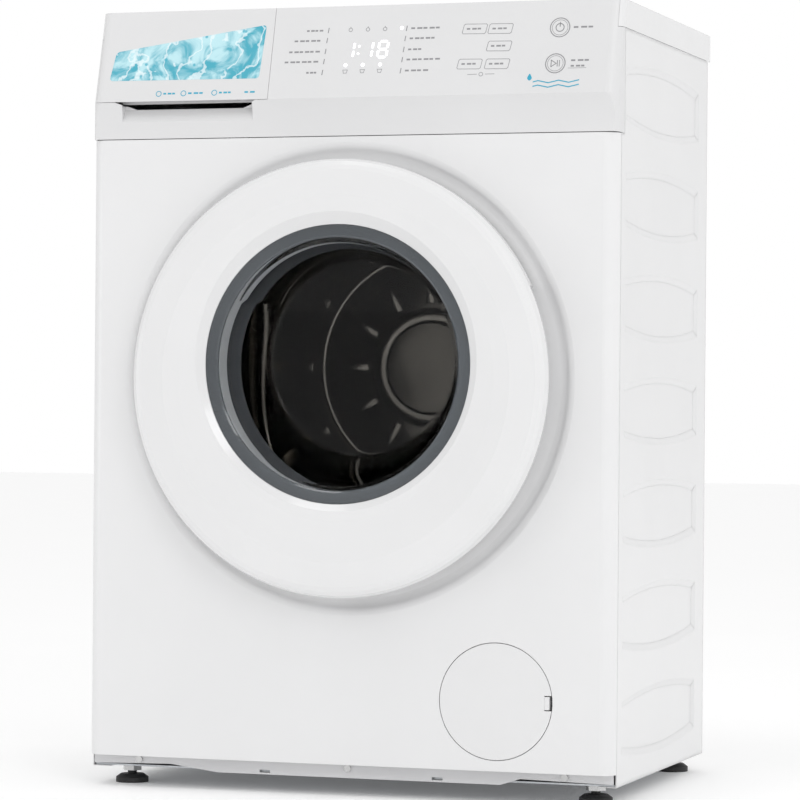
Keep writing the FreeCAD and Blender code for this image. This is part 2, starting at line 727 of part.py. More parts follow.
def make_mains_gland():
    """Return the gland where the mains lead enters."""
    z = HEIGHT - INLET_BELOW_TOP
    head = rod_y(gland_x(), z, 13, REAR_Y + SHEET, REAR_Y + SHEET + 8)
    stem = rod_y(gland_x(), z, 8.9, REAR_Y - 14, REAR_Y + SHEET)
    nut = rod_y(gland_x(), z, 14, REAR_Y - 8, REAR_Y)
    return union([head, stem, nut]).cut(rod_y(gland_x(), z, GLAND_BORE_R, REAR_Y - 20, REAR_Y + 20))


def make_pressure_switch():
    """Return the water level switch."""
    body = rod_z(HALF - 60, REAR_Y - 70, 24, COVER_Z - 60, COVER_Z - 38)
    nose = rod_z(HALF - 60, REAR_Y - 70, 4, COVER_Z - 76, COVER_Z - 60)
    arm = box(HALF - 40, HALF - SHEET - 4, REAR_Y - 80, REAR_Y - 60, COVER_Z - 52, COVER_Z - 46)
    return union([body, nose, arm])


def control_head():
    """Write the control head, the dispenser and the water inlet."""
    save("control_fascia", make_control_fascia())
    save("control_board", make_control_board())
    save("drawer_front", make_drawer_front())
    save("drawer_tray", make_drawer_tray())
    save("drawer_grip_rail", make_grip_rail())
    save("siphon_cap", make_siphon_cap())
    save("dispenser_housing", make_dispenser_housing())
    save("inlet_valve", make_inlet_valve())
    save("water_hoses", group([make_inlet_hose(), make_dispenser_hose()]))
    save("rear_fittings", group([make_mains_gland(), make_drain_spigot()]))
    save("pressure_switch", make_pressure_switch())


# ---- door ----
def ring_outline():
    """Return the ring's outer (r, y) outline from its back edge to the crest."""
    return [(DOOR_R - 4.5, DOOR_BACK), (DOOR_R - 1, DOOR_EDGE_Y + 14), (DOOR_R, DOOR_EDGE_Y),
            (DOOR_R - 2.5, DOOR_EDGE_Y - 6.5), (DOOR_R - 6.5, DOOR_EDGE_Y - 10),
            (SHOULDER_R, DOOR_EDGE_Y - 11.8), (SHOULDER_R - 14, 1 - DOOR_PROUD),
            (SHOULDER_R - 27, -DOOR_PROUD), (SHOULDER_R - 45, 2 - DOOR_PROUD),
            (SHOULDER_R - 70, 6 - DOOR_PROUD)]


def ring_body(inset):
    """Return the ring as a full disc, drawn in by inset."""
    points = [(r - inset, y + inset) for r, y in ring_outline()]
    points = points + [(0, points[-1][1]), (0, points[0][1])]
    return turned(points, 0, DOOR_Z)


def funnel(grow):
    """Return the cone cut round the window, made larger by grow."""
    front = -DOOR_PROUD
    slope = (FUNNEL_R - WINDOW_R) / (WINDOW_Y - front + 2)
    far = WINDOW_R + grow + slope * (WINDOW_Y - front + 20)
    cone = turned([(0, WINDOW_Y), (WINDOW_R + grow, WINDOW_Y), (far, front - 20), (0, front - 20)],
                  0, DRUM_Z)
    neck = rod_y(0, DRUM_Z, WINDOW_R + grow, WINDOW_Y - 1, DOOR_BACK + 1)
    return cone.fuse(neck)


def grip_sector(points, shrink=0.0):
    """Turn an (r, y) outline through the finger gap's angles."""
    return turned(points, 0, DOOR_Z, GRIP_TO - GRIP_FROM - 2 * shrink, GRIP_FROM + shrink)


def make_door_ring():
    """Return the door's front ring with the finger gap behind its rim."""
    shell = ring_body(0).cut(ring_body(DOOR_WALL))
    lining = ring_body(0).common(funnel(DOOR_WALL)).cut(rod_y(0, DRUM_Z, 300, WINDOW_Y + 12, 5))
    shell = shell.fuse(lining).cut(funnel(0))
    reach = DOOR_R + 2
    gap = grip_sector([(GRIP_R, GRIP_FRONT), (reach, GRIP_FRONT), (reach, 5), (GRIP_R, 5)])
    wall = grip_sector([(GRIP_R - DOOR_WALL, GRIP_FRONT - DOOR_WALL), (DOOR_R - 1.5, GRIP_FRONT - DOOR_WALL),
                        (DOOR_R - 1.5, GRIP_FRONT), (GRIP_R, GRIP_FRONT), (GRIP_R, DOOR_BACK),
                        (GRIP_R - DOOR_WALL, DOOR_BACK)])
    ends = []
    for angle in (GRIP_FROM - 0.8, GRIP_TO):
        outline = [(GRIP_R - DOOR_WALL, GRIP_FRONT - DOOR_WALL), (DOOR_R - 2, GRIP_FRONT - DOOR_WALL),
                   (DOOR_R - 5, DOOR_BACK), (GRIP_R - DOOR_WALL, DOOR_BACK)]
        ends.append(turned(outline, 0, DOOR_Z, 0.8, angle))
    return union([shell.cut(gap), wall] + ends)


def hinge_pocket():
    """Return the space in the door that the hinge needs."""
    return box(HINGE_X - 30, HINGE_X + 38, HINGE_Y - 12, 5, DOOR_Z - 48, DOOR_Z + 48)


def make_door_frame():
    """Return the door's back frame that clamps the glass."""
    inner_r = BOWL_R + 2
    wall_r = DOOR_R - 4.5 - DOOR_WALL - 0.5
    plate = rod_y(0, DOOR_Z, wall_r, DOOR_BACK - 5, DOOR_BACK - 1)
    collar = rod_y(0, DRUM_Z, inner_r + 12, BOWL_FLANGE_Y, DOOR_BACK - 1)
    frame = plate.fuse(collar).cut(rod_y(0, DRUM_Z, inner_r, -80, 5))
    gap_wall = GRIP_R - DOOR_WALL - 0.5
    gap = grip_sector([(gap_wall, -60), (DOOR_R + 5, -60), (DOOR_R + 5, 5), (gap_wall, 5)], -1.5)
    hook_room = box(HOOK_X - 9, HOOK_X + 9, -40, 5, DOOR_Z - 7, DOOR_Z + 7)
    frame = frame.cut([gap, hinge_pocket(), hook_room])
    lugs = [box(HOOK_X - 5, HOOK_X + 5, HOOK_Y - 5, DOOR_BACK - 3, DOOR_Z + side * 8.5 - 1.5,
                DOOR_Z + side * 8.5 + 1.5) for side in (-1, 1)]
    pivot = rod_z(HOOK_X, HOOK_Y, 2 + FIT, DOOR_Z - 12, DOOR_Z + 12)
    return union([frame] + lugs).cut(pivot)


def make_door_glass():
    """Return the glass bowl with its clamped rim."""
    start = BOWL_FLANGE_Y - BOWL_WALL
    rise = DRUM_Z + BOWL_FLOOR_RISE
    outer = cone_loft(0, start, DRUM_Z, BOWL_R, 0, BOWL_FLOOR_Y, rise, BOWL_FLOOR_R)
    hollow = cone_loft(0, start, DRUM_Z, BOWL_R - BOWL_WALL, 0, BOWL_FLOOR_Y - BOWL_WALL, rise,
                       BOWL_FLOOR_R - BOWL_WALL)
    rim = rod_y(0, DRUM_Z, WINDOW_R - 1, start, BOWL_FLANGE_Y)
    rim = rim.cut(rod_y(0, DRUM_Z, BOWL_R - BOWL_WALL / 2, start - 1, BOWL_FLANGE_Y + 1))
    return outer.fuse(rim).cut(hollow)


def make_window_bezel():
    """Return the translucent ring round the window."""
    edge = WINDOW_R - 0.4
    inner = WINDOW_R - BEZEL_WIDTH
    front = WINDOW_Y + 0.2
    return turned([(inner, front + 1.5), (inner + 2, front), (edge, front),
                   (edge, front + BEZEL_THICK), (inner, front + BEZEL_THICK)], 0, DRUM_Z)


def make_hinge_arm():
    """Return the door's half of the hinge."""
    reach = HINGE_LUG_Z - 1
    boss = rod_z(HINGE_X, HINGE_Y, 6.5, DOOR_Z - reach, DOOR_Z + reach)
    strap = box(HINGE_X, HINGE_X + 62, HINGE_Y - 6.5, HINGE_Y - 3, DOOR_Z - reach, DOOR_Z + reach)
    pad = box(HINGE_X + 44, HINGE_X + 62, HINGE_Y - 6.5, DOOR_BACK - 5, DOOR_Z - reach, DOOR_Z + reach)
    collar = rod_y(0, DRUM_Z, BOWL_R + 14.5, -60, 5)
    return union([boss, strap, pad]).cut(rod_z(HINGE_X, HINGE_Y, HINGE_PIN_R + FIT, 0, HEIGHT)).cut(collar)


def make_hinge_bracket():
    """Return the gooseneck bracket on the front panel."""
    plate = box(HINGE_X + 18, HINGE_X + 43, DISH_DEPTH - 1.8, DISH_DEPTH, DOOR_Z - 45, DOOR_Z + 45)
    lugs = []
    for side in (-1, 1):
        middle = DOOR_Z + side * (HINGE_LUG_Z + 3)
        outline = [(HINGE_X - 6, HINGE_Y - 5.5), (HINGE_X + 34, HINGE_Y - 5.5),
                   (HINGE_X + 34, DISH_DEPTH - 1), (HINGE_X + 26, DISH_DEPTH - 1),
                   (HINGE_X + 26, HINGE_Y + 4.5), (HINGE_X - 6, HINGE_Y + 4.5)]
        lug = prism_z(outline, middle - 3, middle + 3)
        lugs.append(lug.cut(rod_z(HINGE_X, HINGE_Y, HINGE_PIN_R, middle - 5, middle + 5)))
    return union([plate] + lugs)


def make_hinge_pin():
    """Return the door's hinge pin."""
    reach = HINGE_LUG_Z + 6
    pin = rod_z(HINGE_X, HINGE_Y, HINGE_PIN_R, DOOR_Z - reach, DOOR_Z + reach + 2)
    head = rod_z(HINGE_X, HINGE_Y, HINGE_PIN_R + 2, DOOR_Z + reach, DOOR_Z + reach + 2)
    return pin.fuse(head)


def make_door_hook():
    """Return the sprung steel hook that the lock holds."""
    stem = box(HOOK_X - 3, HOOK_X + 3, HOOK_Y - 4, 15, DOOR_Z - 3, DOOR_Z + 3)
    barb = prism_z([(HOOK_X + 2, 9.5), (HOOK_X + 7.5, 9.5), (HOOK_X + 6, 12), (HOOK_X - 3, 18),
                    (HOOK_X - 3, 14)], DOOR_Z - 3, DOOR_Z + 3)
    pivot = rod_z(HOOK_X, HOOK_Y, 2, DOOR_Z - 9.5, DOOR_Z + 9.5)
    return union([stem, barb, pivot])


def make_door_lock():
    """Return the lock housing behind the hook's slot."""
    start = DISH_DEPTH + SHEET
    outer = box(HOOK_X - 18, HOOK_X + 30, start, start + 26, DOOR_Z - 24, DOOR_Z + 24)
    outer = outer.cut(rod_y(0, DRUM_Z, PANEL_HOLE_R + SHEET + 1, 0, 40))
    room = box(HOOK_X - 11, HOOK_X + 10, start - 1, start + 20, DOOR_Z - 9, DOOR_Z + 9)
    return outer.cut(room)


def make_door_screws():
    """Return the screws that hold the door's two halves together."""
    screws = []
    for degrees in (50, 80, 110, 140, 220, 245):
        angle = math.radians(degrees)
        x = (DOOR_R - 26) * math.cos(angle)
        z = DOOR_Z + (DOOR_R - 26) * math.sin(angle)
        screws.append(rod_y(x, z, 3.6, DOOR_BACK - 1, DOOR_BACK + 1))
    return group(screws)


def make_gasket():
    """Return the rubber door seal."""
    front = DISH_DEPTH - 2.4
    outer = PANEL_HOLE_R - 0.3
    rear = TUB_FRONT_Y - 6
    return turned([(outer - 6, front), (outer + 3, front), (outer + 3, DISH_DEPTH - 0.2),
                   (outer, DISH_DEPTH - 0.2), (outer, rear), (GASKET_LIP_R, rear),
                   (GASKET_LIP_R, rear - 4), (outer - 6, rear - 5)], 0, DRUM_Z)


def make_gasket_clamp():
    """Return the wire ring that clamps the seal to the front panel."""
    wire_r = 1.5
    y = DISH_DEPTH - 2.4 - wire_r
    ring = Part.makeTorus(PANEL_HOLE_R - 2.5, wire_r, V(0, y, DRUM_Z), ALONG_Y)
    return ring


def door():
    """Write the door, its hinge, hook and lock, and the seal round its mouth."""
    save("door_ring", make_door_ring())
    save("door_frame", make_door_frame())
    save("door_glass", make_door_glass())
    save("window_bezel", make_window_bezel())
    save("door_hinge_arm", make_hinge_arm())
    save("door_screws", make_door_screws())
    save("door_hook", make_door_hook())
    save("hinge_bracket", group([make_hinge_bracket(), make_hinge_pin()]))
    save("door_lock", make_door_lock())
    save("door_gasket", make_gasket())
    save("gasket_clamp", make_gasket_clamp())


# ---- tub, drum and drive ----
def tub_bottom(x):
    """Return the height of the tub's outside below x."""
    return DRUM_Z - math.sqrt(TUB_R ** 2 - x ** 2)


def make_tub_front():
    """Return the tub's front half with its drain spigot."""
    inner = TUB_R - TUB_WALL
    back = TUB_SPLIT_Y - 0.4
    wall = TUB_FRONT_Y + TUB_WALL
    shell = turned([(TUB_MOUTH_R, TUB_FRONT_Y - 3), (TUB_MOUTH_R + 4, TUB_FRONT_Y - 3),
                    (TUB_MOUTH_R + 4, TUB_FRONT_Y), (TUB_R, TUB_FRONT_Y), (TUB_R, back - 8),
                    (TUB_R + 8, back - 8), (TUB_R + 8, back), (inner, back), (inner, wall),
                    (TUB_MOUTH_R, wall)], 0, DRUM_Z)
    spigot = rod_z(SUMP_X, SUMP_Y, SPIGOT_R, sump_end(), DRUM_Z)
    spigot = spigot.cut(rod_y(0, DRUM_Z, inner + 1, 0, TUB_SPLIT_Y))
    bore = rod_z(SUMP_X, SUMP_Y, SPIGOT_R - 2.5, 0, DRUM_Z - TUB_R / 2)
    return union([shell, spigot]).cut(bore)


def sump_end():
    """Return the height of the lower end of the tub's drain spigot."""
    return tub_bottom(SUMP_X) - 36


def make_tub_rear():
    """Return the tub's rear half with its bearing boss and lugs."""
    inner = TUB_R - TUB_WALL
    front = TUB_SPLIT_Y
    wall = TUB_REAR_Y - TUB_WALL
    boss_end = PULLEY_Y - 6
    boss_start = DRUM_REAR_Y + 8
    shell = turned([(inner, front), (TUB_R + 8, front), (TUB_R + 8, front + 8), (TUB_R, front + 8),
                    (TUB_R, TUB_REAR_Y), (BEARING_R + 14, TUB_REAR_Y), (BEARING_R + 14, boss_end),
                    (BEARING_R, boss_end), (BEARING_R, boss_start), (BEARING_R + 13, boss_start),
                    (BEARING_R + 13, wall), (inner, wall)], 0, DRUM_Z)
    keep_out = rod_y(0, DRUM_Z, TUB_R - 1, 0, TUB_REAR_Y + 5)
    ear = box(TUB_R - EAR_ROOT, SPRING_X + 12, SPRING_Y - 8, SPRING_Y + 8, DRUM_Z + 97, spring_bottom())
    lug = box(DAMPER_X - 10, DAMPER_X + 10, DAMPER_Y - 10, DAMPER_Y + 10, damper_eye(), DRUM_Z - 160)
    mount = box(12, 40, MOTOR_Y + 20, MOTOR_Y + 100, MOTOR_Z + MOTOR_R - 10, DRUM_Z - TUB_R + 20)
    extras = []
    for extra in (ear, lug, mount):
        cleared = extra.cut(keep_out)
        extras.append(cleared)
        extras.append(mirrored(cleared))
    inlet = rod_z(DISPENSER_X, DISPENSER_Y, SPIGOT_R + 4, DRUM_Z + 150, tub_top(DISPENSER_X) + 42)
    extras.append(inlet.cut(keep_out))
    joined = union([shell] + extras)
    bore = rod_z(DISPENSER_X, DISPENSER_Y, SPIGOT_R + 1.5, DRUM_Z + 100, HEIGHT)
    motor_room = rod_y(0, MOTOR_Z, MOTOR_R, MOTOR_Y - 1, PULLEY_Y)
    heater_holes = [rod_y(side * HEATER_X, heater_z(), HEATER_R + FIT, wall - 2, TUB_REAR_Y + 1)
                    for side in (-1, 1)]
    return joined.cut([bore, motor_room] + heater_holes)


def heater_z():
    """Return the height of the heater in the gap under the drum."""
    return DRUM_Z - (TUB_R - TUB_WALL + DRUM_R) / 2 + 1


def spring_bottom():
    """Return the height of the springs' lower ends."""
    return DRUM_Z + 182


def damper_eye():
    """Return the height where the damper rods meet the tub."""
    return tub_bottom(DAMPER_X) - 24


def tub_screws():
    """Return the screws round the tub's flange."""
    screws = []
    for step in range(12):
        angle = math.radians(15 + 30 * step)
        x = (TUB_R + 4.2) * math.cos(angle)
        z = DRUM_Z + (TUB_R + 4.2) * math.sin(angle)
        screws.append(rod_y(x, z, 3.4, TUB_SPLIT_Y - 11.5, TUB_SPLIT_Y - 8.4))
    return screws


def make_front_counterweight():
    """Return the concrete crescent under the tub's mouth."""
    inner = TUB_MOUTH_R + 35
    outer = TUB_R - 8
    return turned([(inner, DISH_DEPTH + 8), (outer, DISH_DEPTH + 8), (outer, TUB_FRONT_Y),
                   (inner, TUB_FRONT_Y)], 0, DRUM_Z, 100.0, -140.0)


def make_top_counterweight():
    """Return the concrete block on top of the tub."""
    block = box(-84, 150, TUB_SPLIT_Y + 16, TUB_REAR_Y - 30, DRUM_Z + 212, DRUM_Z + TUB_R + 60)
    return block.cut(rod_y(0, DRUM_Z, TUB_R, 0, COVER_REAR))


def counterweight_bolts():
    """Return the bolts in the two counterweights."""
    top = DRUM_Z + TUB_R + 60
    bolts = [rod_z(x, TUB_REAR_Y - 90, 7, top, top + 6) for x in (-40, 100)]
    for degrees in (-125, -90, -55):
        angle = math.radians(degrees)
        middle = TUB_MOUTH_R + 66
        bolts.append(rod_y(middle * math.cos(angle), DRUM_Z + middle * math.sin(angle), 7,
                           DISH_DEPTH + 3.5, DISH_DEPTH + 8))
    return bolts


def bearing_starts():
    """Return the y of the front face of each drum bearing."""
    return DRUM_REAR_Y + 14, PULLEY_Y - 6 - BEARING_WIDTH - 1


def drum_bearings():
    """Return the two drum bearings."""
    bearings = []
    for start in bearing_starts():
        ring = rod_y(0, DRUM_Z, BEARING_R, start, start + BEARING_WIDTH)
        bearings.append(ring.cut(rod_y(0, DRUM_Z, SHAFT_R + FIT, start - 1, start + BEARING_WIDTH + 1)))
    return bearings


def make_shaft_seal():
    """Return the lip seal in front of the bearings."""
    start = DRUM_REAR_Y + 8
    seal = rod_y(0, DRUM_Z, BEARING_R, start, start + 5.5)
    return seal.cut(rod_y(0, DRUM_Z, SHAFT_R + 0.1, start - 1, start + 7))


def make_motor():
    """Return the motor's housing."""
    body = rod_y(0, MOTOR_Z, MOTOR_R, MOTOR_Y, MOTOR_Y + 110)
    ribs = [rod_y(0, MOTOR_Z, MOTOR_R - 4, MOTOR_Y - 8, MOTOR_Y),
            rod_y(0, MOTOR_Z, 20, MOTOR_Y + 110, PULLEY_Y - 10)]
    bore = rod_y(0, MOTOR_Z, MOTOR_SHAFT_R + FIT, MOTOR_Y + 80, PULLEY_Y)
    return union([body] + ribs).cut(bore)


def make_heater():
    """Return the U-shaped immersion heater and its flange plate."""
    start = TUB_SPLIT_Y + 40
    z = heater_z()
    legs = [rod_y(side * HEATER_X, z, HEATER_R, start, TUB_REAR_Y + 12) for side in (-1, 1)]
    bend = Part.makeTorus(HEATER_X, HEATER_R, V(0, start, z), ALONG_Z)
    bend = bend.common(box(-40, 40, start - 40, start, z - 10, z + 10))
    plate = box(-HEATER_X - 12, HEATER_X + 12, TUB_REAR_Y, TUB_REAR_Y + 4, z - 8, z + 8)
    return union(legs + [bend, plate])


def loop_outline(drum_r, motor_r):
    """Return the face inside a belt round the two pulleys."""
    span = DRUM_Z - MOTOR_Z
    lean = math.asin((drum_r - motor_r) / span)
    side_x = math.cos(lean)
    side_z = -math.sin(lean)
    y = PULLEY_Y + 1
    drum_right = V(drum_r * side_x, y, DRUM_Z + drum_r * side_z)
    drum_left = V(-drum_r * side_x, y, DRUM_Z + drum_r * side_z)
    motor_right = V(motor_r * side_x, y, MOTOR_Z + motor_r * side_z)
    motor_left = V(-motor_r * side_x, y, MOTOR_Z + motor_r * side_z)
    edges = [
        Part.Arc(drum_right, V(0, y, DRUM_Z + drum_r), drum_left).toShape(),
        Part.makeLine(drum_left, motor_left),
        Part.Arc(motor_left, V(0, y, MOTOR_Z - motor_r), motor_right).toShape(),
        Part.makeLine(motor_right, drum_right),
    ]
    return Part.Face(Part.Wire(edges))


def make_belt():
    """Return the drive belt."""
    outer = loop_outline(DRUM_PULLEY_R + BELT_GAP + BELT_THICK, MOTOR_PULLEY_R + BELT_GAP + BELT_THICK)
    inner = loop_outline(DRUM_PULLEY_R + BELT_GAP, MOTOR_PULLEY_R + BELT_GAP)
    width = V(0, PULLEY_WIDTH - 2, 0)
    return outer.extrude(width).cut(inner.extrude(width))


def make_drum_shell():
    """Return the drum's cylinder, front wall and rear wall."""
    inner = DRUM_R - DRUM_SHEET
    front = DRUM_FRONT_Y
    back = DRUM_REAR_Y
    shell = turned([(DRUM_MOUTH_R, front), (DRUM_R, front), (DRUM_R, back), (0, back),
                    (0, back - DRUM_SHEET), (inner, back - DRUM_SHEET), (inner, front + DRUM_SHEET),
                    (DRUM_MOUTH_R, front + DRUM_SHEET)], 0, DRUM_Z)
    bead = Part.makeTorus(DRUM_MOUTH_R, 2.5, V(0, front + 2, DRUM_Z), ALONG_Y)
    return shell.fuse(bead)


def make_lifters():
    """Return the drum's three lifters."""
    outline = [(-32, -DRUM_R), (32, -DRUM_R), (11, 46 - DRUM_R), (-11, 46 - DRUM_R)]
    lifter = prism_y([(x, DRUM_Z + z) for x, z in outline], DRUM_FRONT_Y + 22, DRUM_REAR_Y - 18)
    lifter = lifter.common(rod_y(0, DRUM_Z, DRUM_R - DRUM_SHEET, 0, COVER_REAR))
    hollow = [(-27, -DRUM_R), (27, -DRUM_R), (8.5, 43 - DRUM_R), (-8.5, 43 - DRUM_R)]
    lifter = lifter.cut(prism_y([(x, DRUM_Z + z) for x, z in hollow], DRUM_FRONT_Y + 25, DRUM_REAR_Y - 21))
    lifters = []
    for step in range(3):
        turned_lifter = lifter.copy()
        turned_lifter.rotate(V(0, 0, DRUM_Z), ALONG_Y, 40 + 120 * step)
        lifters.append(turned_lifter)
    return group(lifters)


def make_spider():
    """Return the cast three-armed spider behind the drum."""
    start = DRUM_REAR_Y
    hub = rod_y(0, DRUM_Z, BEARING_R + 10, start, start + 7)
    arms = []
    for step in range(3):
        arm = box(BEARING_R + 16, DRUM_R - 8, start, start + 13, DRUM_Z - 16, DRUM_Z + 16)
        root = box(0, BEARING_R + 20, start, start + 7, DRUM_Z - 22, DRUM_Z + 22)
        arm = arm.fuse(root)
        arm.rotate(V(0, 0, DRUM_Z), ALONG_Y, 90 + 120 * step)
        arms.append(arm)
    return union([hub] + arms)


def make_drum_pulley():
    """Return the spoked drum pulley."""
    y0 = PULLEY_Y
    y1 = PULLEY_Y + PULLEY_WIDTH
    web_y = y0 + 6
    wheel = turned([(SHAFT_R, y0 - 3), (SHAFT_R + 12, y0 - 3), (SHAFT_R + 12, web_y),
                    (DRUM_PULLEY_R - 6, web_y), (DRUM_PULLEY_R - 6, y0), (DRUM_PULLEY_R, y0),
                    (DRUM_PULLEY_R, y1), (DRUM_PULLEY_R - 6, y1), (DRUM_PULLEY_R - 6, web_y + 4),
                    (SHAFT_R + 12, web_y + 4), (SHAFT_R + 12, y1), (SHAFT_R, y1)], 0, DRUM_Z)
    holes = []
    for step in range(6):
        angle = math.radians(60 * step)
        holes.append(rod_y(80 * math.cos(angle), DRUM_Z + 80 * math.sin(angle), 30, y0 - 5, y1 + 5))
    return wheel.cut(holes)


def tub():
    """Write the hanging tub with its weights, bearings, motor, heater and belt."""
    save("tub_front", make_tub_front())
    save("tub_rear", make_tub_rear())
    save("tub_fasteners", group(tub_screws() + counterweight_bolts()))
    save("counterweights", group([make_front_counterweight(), make_top_counterweight()]))
    save("drum_bearings", group(drum_bearings() + [make_shaft_seal()]))
    save("motor_housing", make_motor())
    save("heater", make_heater())
    save("drive_belt", make_belt())
    spring = rod_z(SPRING_X, SPRING_Y, SPRING_R, spring_bottom() + 0.5, spring_top() - 0.5)
    spring = spring.cut(rod_z(SPRING_X, SPRING_Y, SPRING_R - 2.5, 0, HEIGHT))
    save("suspension_springs", group([spring, mirrored(spring)]))
    rod = rod_z(DAMPER_X, DAMPER_Y, DAMPER_ROD_R, DAMPER_FLOOR + TUB_TRAVEL + 12, damper_eye())
    save("damper_rods", group([rod, mirrored(rod)]))


def drum():
    """Write the drum, its shaft and the two pulleys."""
    save("drum_shell", make_drum_shell())
    save("drum_lifters", make_lifters())
    shaft_end = PULLEY_Y + PULLEY_WIDTH + 1
    shaft = rod_y(0, DRUM_Z, SHAFT_R, DRUM_REAR_Y + 6, shaft_end)
    save("drum_spider", union([make_spider(), shaft]))
    bolt = rod_y(0, DRUM_Z, SHAFT_R + 4, shaft_end, shaft_end + 7)
    save("drum_pulley", group([make_drum_pulley(), bolt]))
    rotor = rod_y(0, MOTOR_Z, MOTOR_SHAFT_R, MOTOR_Y + 82, PULLEY_Y + PULLEY_WIDTH + 4)
    pulley = rod_y(0, MOTOR_Z, MOTOR_PULLEY_R, PULLEY_Y - 3, PULLEY_Y + PULLEY_WIDTH + 3)
    save("motor_pulley", rotor.fuse(pulley))


# ---- base, feet, filter and drain ----


def foot_places():
    """Return each foot's name and its (x, y)."""
    return [("foot_front_left", -FOOT_X, FOOT_FRONT_Y), ("foot_front_right", FOOT_X, FOOT_FRONT_Y),
            ("foot_rear_left", -FOOT_X, FOOT_REAR_Y), ("foot_rear_right", FOOT_X, FOOT_REAR_Y)]


def hexagon(x, y, flats, z0, z1):
    """Return an upright hexagonal bar."""
    radius = flats / math.sqrt(3)
    corners = [(x + radius * math.cos(math.radians(60 * step)),
                y + radius * math.sin(math.radians(60 * step)))
               for step in range(6)]
    return prism_z(corners, z0, z1)


def make_base_tray():
    """Return the tray that closes the cabinet's bottom."""
    half = HALF - 2 * SHEET
    tray = box(-half, half, WRAP + 3, REAR_Y - SHEET, TRAY_Z, TRAY_TOP)
    holes = [rod_z(x, y, FOOT_STEM_R + FIT, 0, HEIGHT) for _, x, y in foot_places()]
    return tray.cut(holes)


def make_base_strip():
    """Return the set-back strip under the front panel."""
    half = HALF - 2.5
    top = FRONT_BOTTOM - SEAM
    low = SIDE_BOTTOM - 1.5
    outline = [(-half, top), (-half, low + 5), (-205, low + 7), (-150, low), (171, low),
               (193, low + 7), (half, low + 5), (half, top)]
    strip = prism_y(outline, CORNER_R, CORNER_R + 2)
    slots = [box(x, x + 12, 10, 20, low + 2, low + 5) for x in (-101, 95)]
    return strip.cut(slots)


def base_screws():
    """Return the three screws of the base strip."""
    return [rod_y(x, FRONT_BOTTOM - 5, 4, CORNER_R - 2, CORNER_R) for x in (55.5 - HALF, 0, HALF - 55.5)]


def make_lock_nuts():
    """Return the four lock nuts of the feet."""
    nuts = []
    for _, x, y in foot_places():
        nut = hexagon(x, y, NUT_FLATS, SIDE_BOTTOM - 7, SIDE_BOTTOM)
        nuts.append(nut.cut(rod_z(x, y, FOOT_STEM_R + FIT, 0, 50)))
    return group(nuts)


def make_foot(x, y):
    """Return one screw-in foot."""
    pad = rod_z(x, y, FOOT_PAD_R, 0, FOOT_PAD_HEIGHT * 0.6)
    upper = Part.makeCone(FOOT_PAD_R, FOOT_PAD_R - 5, FOOT_PAD_HEIGHT * 0.4, V(x, y, FOOT_PAD_HEIGHT * 0.6))
    stem = rod_z(x, y, FOOT_STEM_R, FOOT_PAD_HEIGHT * 0.5, FOOT_STEM_TOP)
    return union([pad, upper, stem])


def make_filter_housing():
    """Return the filter's cup, bore and pump chamber in one moulding."""
    bore = PLUG_R + FIT
    outer = PUMP_R
    shaft = IMPELLER_SHAFT_R + FIT
    room = PUMP_R - 6
    shell = turned([(bore, CUP_BACK), (CUP_R, CUP_BACK), (CUP_R, SHEET), (CUP_R + 9, SHEET),
                    (CUP_R + 9, SHEET + 2), (CUP_R + 2, SHEET + 2), (CUP_R + 2, CUP_BACK + 2),
                    (outer, CUP_BACK + 2), (outer, CHAMBER_END), (shaft, CHAMBER_END),
                    (shaft, CHAMBER_END - 2), (room, CHAMBER_END - 2), (room, CHAMBER_Y),
                    (bore, CHAMBER_Y)], FILTER_X, FILTER_Z)
    outlet = rod_x(OUTLET_Y, FILTER_Z, NOZZLE_R, FILTER_X + room + 1, FILTER_X + 42)
    outlet_bore = rod_x(OUTLET_Y, FILTER_Z, NOZZLE_R - 2, FILTER_X + 12, FILTER_X + 50)
    inlet_bore = rod_x(SUMP_Y, FILTER_Z, SUMP_HOSE_R - 4, FILTER_X - 40, FILTER_X - 10)
    return union([shell, outlet]).cut([outlet_bore, inlet_bore])


def make_filter_cover():
    """Return the round clip-on cover over the filter, with its catch."""
    disc = rod_y(FILTER_X, FILTER_Z, FILTER_HOLE_R - FILTER_GAP, 0, FLAP_THICK)
    rim = turned([(CLIP_R - 2, FLAP_THICK - 0.5), (CLIP_R, FLAP_THICK - 0.5), (CLIP_R, FLAP_THICK + 4),
                  (CLIP_R - 2, FLAP_THICK + 4)], FILTER_X, FILTER_Z)
    clips = []
    for degrees in (60, 180, 300):
        leg = turned([(CLIP_R - 2, FLAP_THICK), (CLIP_R, FLAP_THICK), (CLIP_R, CLIP_DEPTH - 4),
                      (CLIP_R + 2.5, CLIP_DEPTH - 3), (CLIP_R, CLIP_DEPTH), (CLIP_R - 2, CLIP_DEPTH)],
                     FILTER_X, FILTER_Z, 12, degrees - 6)
        clips.append(leg)
    catch_x = FILTER_X + FILTER_HOLE_R - 9
    notch = box(catch_x, FILTER_X + FILTER_HOLE_R, -1, FLAP_THICK + 5, FILTER_Z - 8, FILTER_Z + 8)
    tab = box(catch_x - 3, catch_x + 5.5, 0.4, 2, FILTER_Z - 7, FILTER_Z + 7)
    hook = box(catch_x + 3.5, catch_x + 5.5, 0.4, 9, FILTER_Z - 7, FILTER_Z + 7)
    return union([union([disc, rim] + clips).cut(notch), tab, hook])


